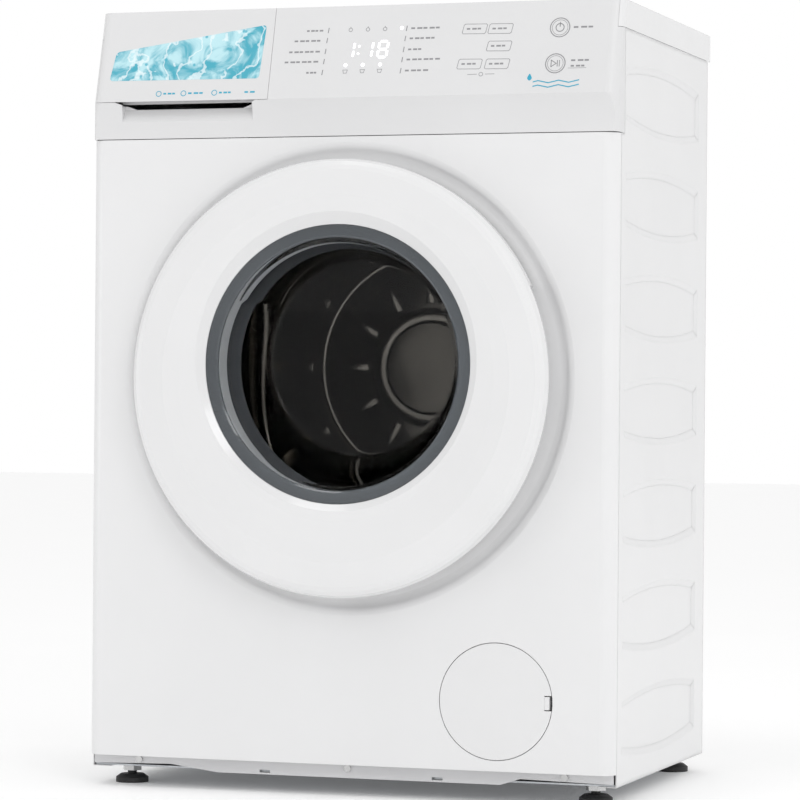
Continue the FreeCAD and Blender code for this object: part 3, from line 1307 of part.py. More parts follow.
def make_filter_plug():
    """Return the drain filter's plug with its grip and strainer."""
    head = rod_y(FILTER_X, FILTER_Z, PLUG_R + 4, 12, CUP_BACK - 0.4)
    grip = box(FILTER_X - 20, FILTER_X + 20, 6, 14, FILTER_Z - 3, FILTER_Z + 3)
    body = rod_y(FILTER_X, FILTER_Z, PLUG_R, CUP_BACK - 2, CHAMBER_Y - 2)
    hollow = rod_y(FILTER_X, FILTER_Z, PLUG_R - 2.5, CUP_BACK + 10, CHAMBER_Y)
    return union([head, grip, body]).cut(hollow)


def make_impeller():
    """Return the drain pump's impeller and its shaft."""
    disc = rod_y(FILTER_X, FILTER_Z, 18, CHAMBER_END - 6, CHAMBER_END - 4)
    hub = rod_y(FILTER_X, FILTER_Z, 5, CHAMBER_Y + 3, CHAMBER_END - 4)
    blades = [box(FILTER_X - 17, FILTER_X + 17, CHAMBER_Y + 3, CHAMBER_END - 5, FILTER_Z - 1, FILTER_Z + 1),
              box(FILTER_X - 1, FILTER_X + 1, CHAMBER_Y + 3, CHAMBER_END - 5, FILTER_Z - 17, FILTER_Z + 17)]
    shaft = rod_y(FILTER_X, FILTER_Z, IMPELLER_SHAFT_R, CHAMBER_END - 6, CHAMBER_END + 36)
    return union([disc, hub, shaft] + blades)


def make_drain_pump():
    """Return the drain pump's motor behind the chamber."""
    body = rod_y(FILTER_X, FILTER_Z, PUMP_R - 2, CHAMBER_END, CHAMBER_END + 40)
    coil = box(FILTER_X - 14, FILTER_X + 14, CHAMBER_END + 8, CHAMBER_END + 34,
               FILTER_Z - PUMP_R - 12, FILTER_Z)
    bore = rod_y(FILTER_X, FILTER_Z, IMPELLER_SHAFT_R + FIT, CHAMBER_END - 1, CHAMBER_END + 38)
    return body.fuse(coil).cut(bore)


def make_sump_hose():
    """Return the hose that the tub's drain spigot dips into."""
    top = tub_bottom(SUMP_X - SUMP_HOSE_R) - TUB_TRAVEL - 5
    points = [V(SUMP_X, SUMP_Y, top), V(SUMP_X, SUMP_Y, FILTER_Z), V(FILTER_X - PUMP_R, SUMP_Y, FILTER_Z)]
    return bent_tube(points, [min(30.0, FILTER_X - PUMP_R - SUMP_X - 5)], SUMP_HOSE_R, SUMP_HOSE_R - 2.5)


def make_drain_hose():
    """Return the hose from the pump to the rear spigot."""
    x = drain_x()
    points = [V(FILTER_X + 34, OUTLET_Y, FILTER_Z), V(x, OUTLET_Y, FILTER_Z), V(x, REAR_Y - 3, FILTER_Z)]
    return bent_tube(points, [25.0], HOSE_R, NOZZLE_R)


def make_drain_spigot():
    """Return the spigot that the outside drain hose pushes onto."""
    x = drain_x()
    inner = rod_y(x, FILTER_Z, NOZZLE_R, REAR_Y - 24, REAR_Y + SHEET)
    collar = rod_y(x, FILTER_Z, HOSE_R + 6, REAR_Y + SHEET, REAR_Y + SHEET + 2)
    nozzle = rod_y(x, FILTER_Z, DRAIN_SPIGOT_R, REAR_Y + SHEET, COVER_REAR - 1)
    return union([inner, collar, nozzle]).cut(rod_y(x, FILTER_Z, NOZZLE_R - 2, 0, COVER_REAR))


def make_dampers():
    """Return the cylinders of the two friction dampers."""
    cylinder = rod_z(DAMPER_X, DAMPER_Y, 12, TRAY_TOP, damper_eye() - TUB_TRAVEL - 10)
    shoe = box(DAMPER_X - 16, DAMPER_X + 16, DAMPER_Y - 16, DAMPER_Y + 16, TRAY_TOP, TRAY_TOP + 6)
    bore = rod_z(DAMPER_X, DAMPER_Y, DAMPER_ROD_R + FIT, DAMPER_FLOOR, HEIGHT)
    right = cylinder.fuse(shoe).cut(bore)
    return group([right, mirrored(right)])


def base():
    """Write the base, the feet, the filter and the drain."""
    save("base_tray", make_base_tray())
    save("base_strip", make_base_strip())
    save("foot_lock_nuts", make_lock_nuts())
    for name, x, y in foot_places():
        save(name, make_foot(x, y))
    save("filter_housing", make_filter_housing())
    save("filter_cover", make_filter_cover())
    save("filter_plug", make_filter_plug())
    save("pump_impeller", make_impeller())
    save("drain_pump", make_drain_pump())
    save("drain_hoses", group([make_sump_hose(), make_drain_hose()]))
    save("damper_cylinders", make_dampers())


os.makedirs("parts", exist_ok=True)
cabinet()
control_head()
door()
tub()
drum()
base()
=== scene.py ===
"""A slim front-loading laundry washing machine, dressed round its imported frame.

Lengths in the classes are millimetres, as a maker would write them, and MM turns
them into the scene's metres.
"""
from __future__ import annotations

import logging
import math
from dataclasses import dataclass
from enum import Enum

import bmesh
import bpy
from mathutils import Matrix, Vector

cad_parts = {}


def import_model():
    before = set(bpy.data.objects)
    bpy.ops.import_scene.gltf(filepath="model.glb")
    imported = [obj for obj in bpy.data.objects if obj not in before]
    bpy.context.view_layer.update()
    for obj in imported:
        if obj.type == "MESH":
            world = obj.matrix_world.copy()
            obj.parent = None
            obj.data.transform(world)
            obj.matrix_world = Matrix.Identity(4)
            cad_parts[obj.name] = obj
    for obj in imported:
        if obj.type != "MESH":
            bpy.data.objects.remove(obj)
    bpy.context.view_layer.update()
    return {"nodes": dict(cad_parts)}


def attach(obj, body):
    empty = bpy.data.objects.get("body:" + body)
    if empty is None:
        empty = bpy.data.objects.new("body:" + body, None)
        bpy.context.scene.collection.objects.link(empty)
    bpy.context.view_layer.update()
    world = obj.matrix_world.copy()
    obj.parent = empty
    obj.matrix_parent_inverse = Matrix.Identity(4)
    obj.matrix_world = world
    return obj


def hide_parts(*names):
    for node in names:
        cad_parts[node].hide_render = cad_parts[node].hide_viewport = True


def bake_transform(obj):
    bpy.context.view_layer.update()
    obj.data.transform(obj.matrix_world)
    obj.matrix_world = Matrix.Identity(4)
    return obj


MM = 0.001
LOG = logging.getLogger("washing_machine")
UPRIGHT = Matrix.Rotation(math.pi / 2, 4, "X")
Colour = tuple[float, float, float]


# ---------------------------------------------------------------- node groups
class GroupName(Enum):
    """The shader node groups that several finishes share."""

    TONE = "surface_tone"
    GRAIN = "fine_grain"
    HIGHLIGHT_AND_DUST = "painted_highlight_and_dust"


def new_group(name: str, inputs: dict[str, float | Colour], outputs: dict[str, str]) -> bpy.types.NodeTree:
    """Make an empty shader node group with named sockets.

    Args:
        name: the group's name.
        inputs: each input's name and default; a tuple makes a colour.
        outputs: each output's name and socket type.

    Returns:
        The new node tree, with its input and output nodes placed.
    """
    tree = bpy.data.node_groups.new(name, "ShaderNodeTree")
    for label, default in inputs.items():
        kind = "NodeSocketColor" if isinstance(default, tuple) else "NodeSocketFloat"
        socket = tree.interface.new_socket(label, in_out="INPUT", socket_type=kind)
        socket.default_value = (*default, 1.0) if isinstance(default, tuple) else default
    for label, kind in outputs.items():
        tree.interface.new_socket(label, in_out="OUTPUT", socket_type=kind)
    tree.nodes.new("NodeGroupInput").location = (-900, 0)
    tree.nodes.new("NodeGroupOutput").location = (500, 0)
    return tree


class Wiring:
    """A short way to add and join shader nodes in one tree."""

    def __init__(self, tree: bpy.types.NodeTree) -> None:
        """Keep the tree that nodes are added to."""
        self.tree = tree

    def add(self, kind: str, values: dict[str, object] | None = None, **settings: object) -> bpy.types.Node:
        """Add a node.

        Args:
            kind: the node's type name without the ShaderNode prefix.
            values: input values by socket name; a node socket joins instead.
            settings: properties of the node itself.

        Returns:
            The new node.
        """
        node = self.tree.nodes.new("ShaderNode" + kind)
        for label, value in settings.items():
            setattr(node, label, value)
        for label, value in (values or {}).items():
            self.feed(node.inputs[label], value)
        return node

    def feed(self, socket: bpy.types.NodeSocket, value: object) -> None:
        """Join an output to a socket, or set the socket's own value."""
        if isinstance(value, bpy.types.NodeSocket):
            self.tree.links.new(value, socket)
        elif isinstance(value, tuple) and len(value) == 3 and socket.type == "RGBA":
            socket.default_value = (*value, 1.0)
        else:
            socket.default_value = value

    def object_point(self, stretch: Colour = (1.0, 1.0, 1.0)) -> bpy.types.NodeSocket:
        """Return Object coordinates, stretched along each axis."""
        coordinate = self.add("TexCoord")
        mapping = self.add("Mapping", {"Vector": coordinate.outputs["Object"]})
        mapping.inputs["Scale"].default_value = stretch
        return mapping.outputs["Vector"]

    def noise(self, scale: object, detail: float = 2.0,
              point: bpy.types.NodeSocket | None = None) -> bpy.types.NodeSocket:
        """Return a soft noise over the object's own space, or over the given point."""
        place = self.object_point() if point is None else point
        values = {"Vector": place, "Scale": scale, "Detail": detail}
        return self.add("TexNoise", values).outputs["Fac"]

    def maths(self, operation: str, first: object, second: object = 0.0) -> bpy.types.NodeSocket:
        """Return the result of one maths node."""
        node = self.add("Math", operation=operation)
        self.feed(node.inputs[0], first)
        self.feed(node.inputs[1], second)
        return node.outputs[0]

    def ramp(self, value: bpy.types.NodeSocket, low: float, high: float, start: float = 0.0,
             end: float = 1.0) -> bpy.types.NodeSocket:
        """Map a value from low..high to start..end, smoothly and clamped."""
        node = self.add("MapRange", {"Value": value, "From Min": low, "From Max": high, "To Min": start,
                                     "To Max": end}, interpolation_type="SMOOTHSTEP")
        return node.outputs["Result"]

    def mix(self, factor: object, first: object, second: object) -> bpy.types.NodeSocket:
        """Return a blend of two colours."""
        node = self.add("Mix", data_type="RGBA")
        self.feed(node.inputs["Factor"], factor)
        self.feed(node.inputs["A"], first)
        self.feed(node.inputs["B"], second)
        return node.outputs["Result"]

    def group(self, name: GroupName, values: dict[str, object]) -> bpy.types.Node:
        """Place a shared node group and set its inputs."""
        node = self.tree.nodes.new("ShaderNodeGroup")
        node.node_tree = bpy.data.node_groups[name.value]
        for label, value in values.items():
            self.feed(node.inputs[label], value)
        return node


def build_tone_group() -> None:
    """Build the group that varies a colour and a roughness slowly over a surface."""
    tree = new_group(GroupName.TONE.value, {"Colour": (0.8, 0.8, 0.8), "Shade": (0.7, 0.7, 0.7),
                                            "Scale": 8.0, "Roughness": 0.4, "Spread": 0.05},
                     {"Colour": "NodeSocketColor", "Roughness": "NodeSocketFloat"})
    wire = Wiring(tree)
    given = tree.nodes["Group Input"]
    result = tree.nodes["Group Output"]
    point = wire.object_point()
    small = wire.noise(wire.maths("MULTIPLY", given.outputs["Scale"], 9.0), point=point)
    factor = wire.ramp(wire.noise(given.outputs["Scale"], 3.0, point), 0.3, 0.75)
    wire.feed(result.inputs["Colour"], wire.mix(factor, given.outputs["Colour"], given.outputs["Shade"]))
    centred = wire.maths("SUBTRACT", small, 0.5)
    change = wire.maths("MULTIPLY", centred, given.outputs["Spread"])
    wire.feed(result.inputs["Roughness"], wire.maths("ADD", given.outputs["Roughness"], change))


def build_grain_group() -> None:
    """Build the group that gives the fine height of a moulded or painted skin."""
    tree = new_group(GroupName.GRAIN.value, {"Scale": 900.0, "Coarse": 0.3}, {"Height": "NodeSocketFloat"})
    wire = Wiring(tree)
    given = tree.nodes["Group Input"]
    result = tree.nodes["Group Output"]
    point = wire.object_point()
    fine = wire.noise(given.outputs["Scale"], point=point)
    broad = wire.noise(wire.maths("MULTIPLY", given.outputs["Scale"], 0.12), 1.0, point)
    scaled = wire.maths("MULTIPLY", broad, given.outputs["Coarse"])
    wire.feed(result.inputs["Height"], wire.maths("ADD", fine, scaled))


def build_highlight_and_dust_group() -> None:
    """Build the group that rounds edges in shading, and marks a painted edge highlight in patches and
    settled dust.
    """
    tree = new_group(GroupName.HIGHLIGHT_AND_DUST.value, {"Amount": 0.5, "Scale": 60.0, "Radius": 0.0006},
                     {"PaintedHighlight": "NodeSocketFloat", "Dust": "NodeSocketFloat", "Normal": "NodeSocketVector"})
    wire = Wiring(tree)
    given = tree.nodes["Group Input"]
    result = tree.nodes["Group Output"]
    geometry = wire.add("NewGeometry")
    rounded = wire.add("Bevel", {"Radius": given.outputs["Radius"]}, samples=4)
    facing = wire.add("VectorMath", operation="DOT_PRODUCT")
    wire.feed(facing.inputs[0], rounded.outputs["Normal"])
    wire.feed(facing.inputs[1], geometry.outputs["Normal"])
    edge = wire.ramp(facing.outputs["Value"], 0.90, 0.99, 1.0, 0.0)
    patches = wire.ramp(wire.noise(given.outputs["Scale"], 4.0), 0.45, 0.65)
    # Edges in noise patches carry the painted edge highlight.
    wire.feed(result.inputs["PaintedHighlight"], wire.maths("MULTIPLY", wire.maths("MULTIPLY", edge, patches),
                                                given.outputs["Amount"]))
    split = wire.add("SeparateXYZ", {"Vector": geometry.outputs["Normal"]})
    upward = wire.ramp(split.outputs["Z"], 0.6, 1.0)
    wire.feed(result.inputs["Dust"], wire.maths("MULTIPLY", wire.maths("MULTIPLY", upward, patches),
                                                given.outputs["Amount"]))
    wire.feed(result.inputs["Normal"], rounded.outputs["Normal"])


# ------------------------------------------------------------------- finishes
@dataclass(frozen=True)
class Finish:
    """A plain painted, moulded or cast surface."""

    name: str
    colour: Colour
    shade: Colour
    roughness: float
    metallic: float = 0.0
    spread: float = 0.06
    grain_scale: float = 900.0
    grain_depth: float = 0.02
    coat: float = 0.0
    edge_radius: float = 0.6
    # Strength of the painted edge highlight and of the settled dust.
    highlight_and_dust: float = 0.15

    def build(self) -> bpy.types.Material:
        """Return the node-based material of this finish."""
        material = bpy.data.materials.new(self.name)
        material.use_nodes = True
        tree = material.node_tree
        wire = Wiring(tree)
        shader = tree.nodes["Principled BSDF"]
        tone = wire.group(GroupName.TONE, {"Colour": self.colour, "Shade": self.shade,
                                           "Roughness": self.roughness, "Spread": self.spread})
        highlight_and_dust = wire.group(GroupName.HIGHLIGHT_AND_DUST, {"Amount": self.highlight_and_dust, "Radius": self.edge_radius * MM})
        # Edges are painted lighter in patches: a painted highlight.
        highlight_colour = tuple(min(1.0, channel * 1.15 + 0.02) for channel in self.colour)
        colour = wire.mix(highlight_and_dust.outputs["PaintedHighlight"], tone.outputs["Colour"], highlight_colour)
        colour = self.tint(wire, colour)
        wire.feed(shader.inputs["Base Color"], colour)
        dusty = wire.maths("MULTIPLY", highlight_and_dust.outputs["Dust"], 0.1)
        wire.feed(shader.inputs["Roughness"], wire.maths("ADD", tone.outputs["Roughness"], dusty))
        shader.inputs["Metallic"].default_value = self.metallic
        shader.inputs["Coat Weight"].default_value = self.coat
        shader.inputs["Coat Roughness"].default_value = 0.08
        bump = wire.add("Bump", {"Strength": 1.0, "Distance": self.grain_depth * MM,
                                 "Height": self.height(wire), "Normal": highlight_and_dust.outputs["Normal"]})
        wire.feed(shader.inputs["Normal"], bump.outputs["Normal"])
        self.extras(wire, shader)
        return material

    def tint(self, wire: Wiring, colour: bpy.types.NodeSocket) -> bpy.types.NodeSocket:
        """Return the colour with this finish's own pattern over it."""
        return colour

    def height(self, wire: Wiring) -> bpy.types.NodeSocket:
        """Return the fine height of the surface."""
        grain = wire.group(GroupName.GRAIN, {"Scale": self.grain_scale})
        return grain.outputs["Height"]

    def extras(self, wire: Wiring, shader: bpy.types.Node) -> None:
        """Set what only this kind of finish has."""


@dataclass(frozen=True)
class RolledSteel(Finish):
    """Sheet steel with streaks along its rolling direction."""

    streaks: Colour = (4.0, 4.0, 900.0)

    def height(self, wire: Wiring) -> bpy.types.NodeSocket:
        """Return long fine streaks."""
        return wire.noise(1.0, 4.0, wire.object_point(self.streaks))


@dataclass(frozen=True)
class ZincCoat(Finish):
    """Galvanised sheet with its spangle."""

    def tint(self, wire: Wiring, colour: bpy.types.NodeSocket) -> bpy.types.NodeSocket:
        """Return the colour broken up by zinc crystals."""
        cells = wire.add("TexVoronoi", {"Vector": wire.object_point(), "Scale": 110.0, "Randomness": 1.0})
        grey = wire.add("RGBToBW", {"Color": cells.outputs["Color"]})
        factor = wire.ramp(grey.outputs["Val"], 0.2, 0.9, 0.0, 0.45)
        return wire.mix(factor, colour, (0.36, 0.38, 0.41))


@dataclass(frozen=True)
class PiercedDrumSteel(Finish):
    """Polished stainless sheet with rows of small water holes."""

    axis_height: float = 463.0
    pitch: float = 20.0
    hole: float = 0.16
    swell: float = 7.0
    swell_scale: float = 9.0

    def holes(self, wire: Wiring) -> bpy.types.NodeSocket:
        """Return a mask of the holes round the drum's axis."""
        split = wire.add("SeparateXYZ", {"Vector": wire.object_point()})
        rise = wire.maths("SUBTRACT", split.outputs["Z"], self.axis_height * MM)
        turn = wire.maths("ARCTAN2", split.outputs["X"], rise)
        around = wire.maths("MULTIPLY", turn, 240.0 / self.pitch)
        along = wire.maths("MULTIPLY", split.outputs["Y"], 1.0 / (self.pitch * MM))
        offset = wire.maths("MULTIPLY", wire.maths("FLOOR", along), 0.5)
        cell_x = wire.maths("SUBTRACT", wire.maths("FRACT", wire.maths("ADD", around, offset)), 0.5)
        cell_y = wire.maths("SUBTRACT", wire.maths("FRACT", along), 0.5)
        squared = wire.maths("ADD", wire.maths("POWER", wire.maths("ABSOLUTE", cell_x), 2.0),
                             wire.maths("POWER", wire.maths("ABSOLUTE", cell_y), 2.0))
        away = wire.maths("SQRT", squared)
        geometry = wire.add("NewGeometry")
        normal = wire.add("SeparateXYZ", {"Vector": geometry.outputs["Normal"]})
        on_wall = wire.ramp(wire.maths("ABSOLUTE", normal.outputs["Y"]), 0.2, 0.5, 1.0, 0.0)
        return wire.maths("MULTIPLY", wire.ramp(away, self.hole * 0.8, self.hole, 1.0, 0.0), on_wall)

    def tint(self, wire: Wiring, colour: bpy.types.NodeSocket) -> bpy.types.NodeSocket:
        """Return the steel's colour with dark holes."""
        return wire.mix(self.holes(wire), colour, (0.01, 0.01, 0.01))

    def height(self, wire: Wiring) -> bpy.types.NodeSocket:
        """Return a surface that dips into each hole."""
        brushed = wire.noise(1.0, point=wire.object_point((30.0, 700.0, 30.0)))
        soft = wire.maths("MULTIPLY", brushed, 0.02)
        swell = wire.maths("MULTIPLY", wire.noise(self.swell_scale, 1.0), self.swell)
        return wire.maths("SUBTRACT", wire.maths("ADD", soft, swell), self.holes(wire))


@dataclass(frozen=True)
class CastStone(Finish):
    """Cast concrete with pits and aggregate."""

    def tint(self, wire: Wiring, colour: bpy.types.NodeSocket) -> bpy.types.NodeSocket:
        """Return the colour with grains of aggregate."""
        cells = wire.add("TexVoronoi", {"Vector": wire.object_point(), "Scale": 240.0})
        grey = wire.add("RGBToBW", {"Color": cells.outputs["Color"]})
        return wire.mix(wire.ramp(grey.outputs["Val"], 0.55, 0.8, 0.0, 0.5), colour, (0.30, 0.29, 0.27))


@dataclass(frozen=True)
class ClearGlass(Finish):
    """Thick pressed glass, set below real glass's index so that it mirrors less of the pale room."""

    ior: float = 1.2

    def extras(self, wire: Wiring, shader: bpy.types.Node) -> None:
        """Let light through."""
        shader.inputs["Transmission Weight"].default_value = 1.0
        shader.inputs["IOR"].default_value = self.ior


@dataclass(frozen=True)
class SmokedPlastic(Finish):
    """A tinted, half-clear moulding."""

    clear: float = 0.75

    def extras(self, wire: Wiring, shader: bpy.types.Node) -> None:
        """Let some light through."""
        shader.inputs["Transmission Weight"].default_value = self.clear
        shader.inputs["IOR"].default_value = 1.49


@dataclass(frozen=True)
class LampFinish(Finish):
    """A lit segment or lamp."""

    glow: float = 3.0

    def extras(self, wire: Wiring, shader: bpy.types.Node) -> None:
        """Make the surface shine by itself."""
        shader.inputs["Emission Color"].default_value = (*self.colour, 1.0)
        shader.inputs["Emission Strength"].default_value = self.glow


@dataclass(frozen=True)
class WaterPrint(Finish):
    """A printed film of pale water with ripples and drops."""

    def tint(self, wire: Wiring, colour: bpy.types.NodeSocket) -> bpy.types.NodeSocket:
        """Return flowing blues with drops."""
        point = wire.object_point()
        warp = wire.add("TexNoise", {"Vector": point, "Scale": 26.0, "Detail": 5.0, "Distortion": 1.6})
        flow = wire.ramp(warp.outputs["Fac"], 0.40, 0.62)
        deep = wire.mix(flow, (0.52, 0.80, 0.86), (0.05, 0.40, 0.52))
        streak = wire.add("TexWave", {"Vector": point, "Scale": 12.0, "Distortion": 14.0, "Detail": 4.0,
                                      "Detail Scale": 2.2})
        line = wire.ramp(streak.outputs["Fac"], 0.9, 1.0, 0.0, 0.6)
        rippled = wire.mix(line, deep, (0.90, 0.97, 0.98))
        drops = wire.add("TexVoronoi", {"Vector": point, "Scale": 95.0, "Randomness": 1.0}, feature="F1")
        drop = wire.ramp(drops.outputs["Distance"], 0.10, 0.26, 0.85, 0.0)
        chosen = wire.add("RGBToBW", {"Color": drops.outputs["Color"]})
        few = wire.ramp(chosen.outputs["Val"], 0.62, 0.66)
        return wire.mix(wire.maths("MULTIPLY", drop, few), rippled, (0.04, 0.42, 0.56))


class Palette:
    """Every finish of the machine, built once and handed out by name."""

    def __init__(self) -> None:
        """Build the shared groups and then each material."""
        build_tone_group()
        build_grain_group()
        build_highlight_and_dust_group()
        self.materials = {finish.name: finish.build() for finish in self.finishes()}

    @staticmethod
    def finishes() -> list[Finish]:
        """Return the machine's finishes."""
        return [
            Finish("white_enamel", (0.80, 0.80, 0.805), (0.785, 0.785, 0.79), 0.32, grain_scale=420.0,
                   grain_depth=0.012, coat=0.25, edge_radius=0.8),
            Finish("pressed_enamel", (0.775, 0.775, 0.78), (0.76, 0.76, 0.765), 0.32, grain_scale=420.0,
                   grain_depth=0.012, coat=0.25, edge_radius=5.0),
            Finish("white_gloss", (0.785, 0.785, 0.79), (0.77, 0.77, 0.775), 0.22, grain_scale=500.0,
                   grain_depth=0.006, coat=0.4, edge_radius=0.9),
            Finish("fascia_grey", (0.725, 0.725, 0.73), (0.71, 0.71, 0.715), 0.38, grain_scale=1400.0,
                   grain_depth=0.01, edge_radius=0.3),
            Finish("pale_plastic", (0.66, 0.66, 0.67), (0.62, 0.62, 0.63), 0.48, grain_depth=0.03),
            Finish("tray_plastic", (0.66, 0.68, 0.70), (0.62, 0.64, 0.66), 0.42, grain_depth=0.02),
            Finish("dark_plastic", (0.022, 0.022, 0.024), (0.035, 0.035, 0.038), 0.5, grain_depth=0.04),
            Finish("tub_plastic", (0.55, 0.57, 0.57), (0.49, 0.50, 0.50), 0.55, grain_depth=0.05),
            ZincCoat("zinc_sheet", (0.58, 0.60, 0.62), (0.50, 0.52, 0.54), 0.34, metallic=0.9),
            RolledSteel("screw_steel", (0.62, 0.62, 0.62), (0.5, 0.5, 0.5), 0.28, metallic=1.0),
            RolledSteel("ground_steel", (0.60, 0.60, 0.61), (0.52, 0.52, 0.53), 0.18, metallic=1.0,
                        streaks=(900.0, 20.0, 900.0), grain_depth=0.01),
            # Near-black warm colour for polished steel: painted shade inside the drum.
            PiercedDrumSteel("drum_steel_painted_shade", (0.10, 0.090, 0.078), (0.06, 0.054, 0.047), 0.14, metallic=1.0,
                             grain_depth=0.5, edge_radius=1.2),
            # Near-black warm colour for the lifters' steel: painted shade inside the drum.
            Finish("lifter_steel_painted_shade", (0.15, 0.135, 0.118), (0.11, 0.10, 0.088), 0.16, metallic=1.0,
                   grain_depth=0.01, edge_radius=3.0),
            Finish("cast_metal", (0.56, 0.56, 0.57), (0.48, 0.48, 0.49), 0.52, metallic=0.9,
                   grain_scale=300.0, grain_depth=0.12),
            CastStone("cast_concrete", (0.42, 0.41, 0.39), (0.36, 0.35, 0.33), 0.85, grain_scale=220.0,
                      grain_depth=0.5),
            # Rubber darkened to near black: painted shade inside the door.
            Finish("seal_rubber", (0.075, 0.078, 0.085), (0.06, 0.063, 0.07), 0.55, grain_depth=0.05),
            Finish("black_rubber", (0.018, 0.018, 0.019), (0.03, 0.03, 0.03), 0.6, grain_depth=0.08),
            ClearGlass("bowl_glass", (0.93, 0.95, 0.96), (0.92, 0.94, 0.95), 0.02, spread=0.01,
                       grain_depth=0.0, edge_radius=1.0, highlight_and_dust=0.0),
            SmokedPlastic("smoked_ring", (0.20, 0.225, 0.25), (0.16, 0.185, 0.21), 0.05, grain_depth=0.004,
                          coat=0.6, edge_radius=1.0),
            Finish("motor_enamel", (0.05, 0.05, 0.055), (0.07, 0.07, 0.075), 0.4, grain_scale=380.0,
                   grain_depth=0.04),
            Finish("blue_plastic", (0.10, 0.32, 0.52), (0.08, 0.27, 0.45), 0.35),
            Finish("board_lacquer", (0.03, 0.16, 0.07), (0.02, 0.11, 0.05), 0.3, grain_depth=0.03),
            LampFinish("white_lamp", (0.95, 0.97, 1.0), (0.9, 0.94, 1.0), 0.4, highlight_and_dust=0.0, glow=1.6),
            Finish("grey_ink", (0.30, 0.30, 0.31), (0.27, 0.27, 0.28), 0.5, grain_depth=0.0, highlight_and_dust=0.0,
                   edge_radius=0.05),
            Finish("teal_ink", (0.04, 0.42, 0.58), (0.03, 0.36, 0.52), 0.45, grain_depth=0.0, highlight_and_dust=0.0,
                   edge_radius=0.05),
            WaterPrint("water_print", (0.6, 0.85, 0.9), (0.5, 0.8, 0.88), 0.22, grain_depth=0.0, highlight_and_dust=0.0,
                       coat=0.6, edge_radius=0.1),
        ]

    def dress(self, piece: bpy.types.Object, finish: str) -> None:
        """Give a piece one finish.

        Args:
            piece: the object to dress.
            finish: the finish's name.
        """
        piece.data.materials.clear()
        piece.data.materials.append(self.materials[finish])


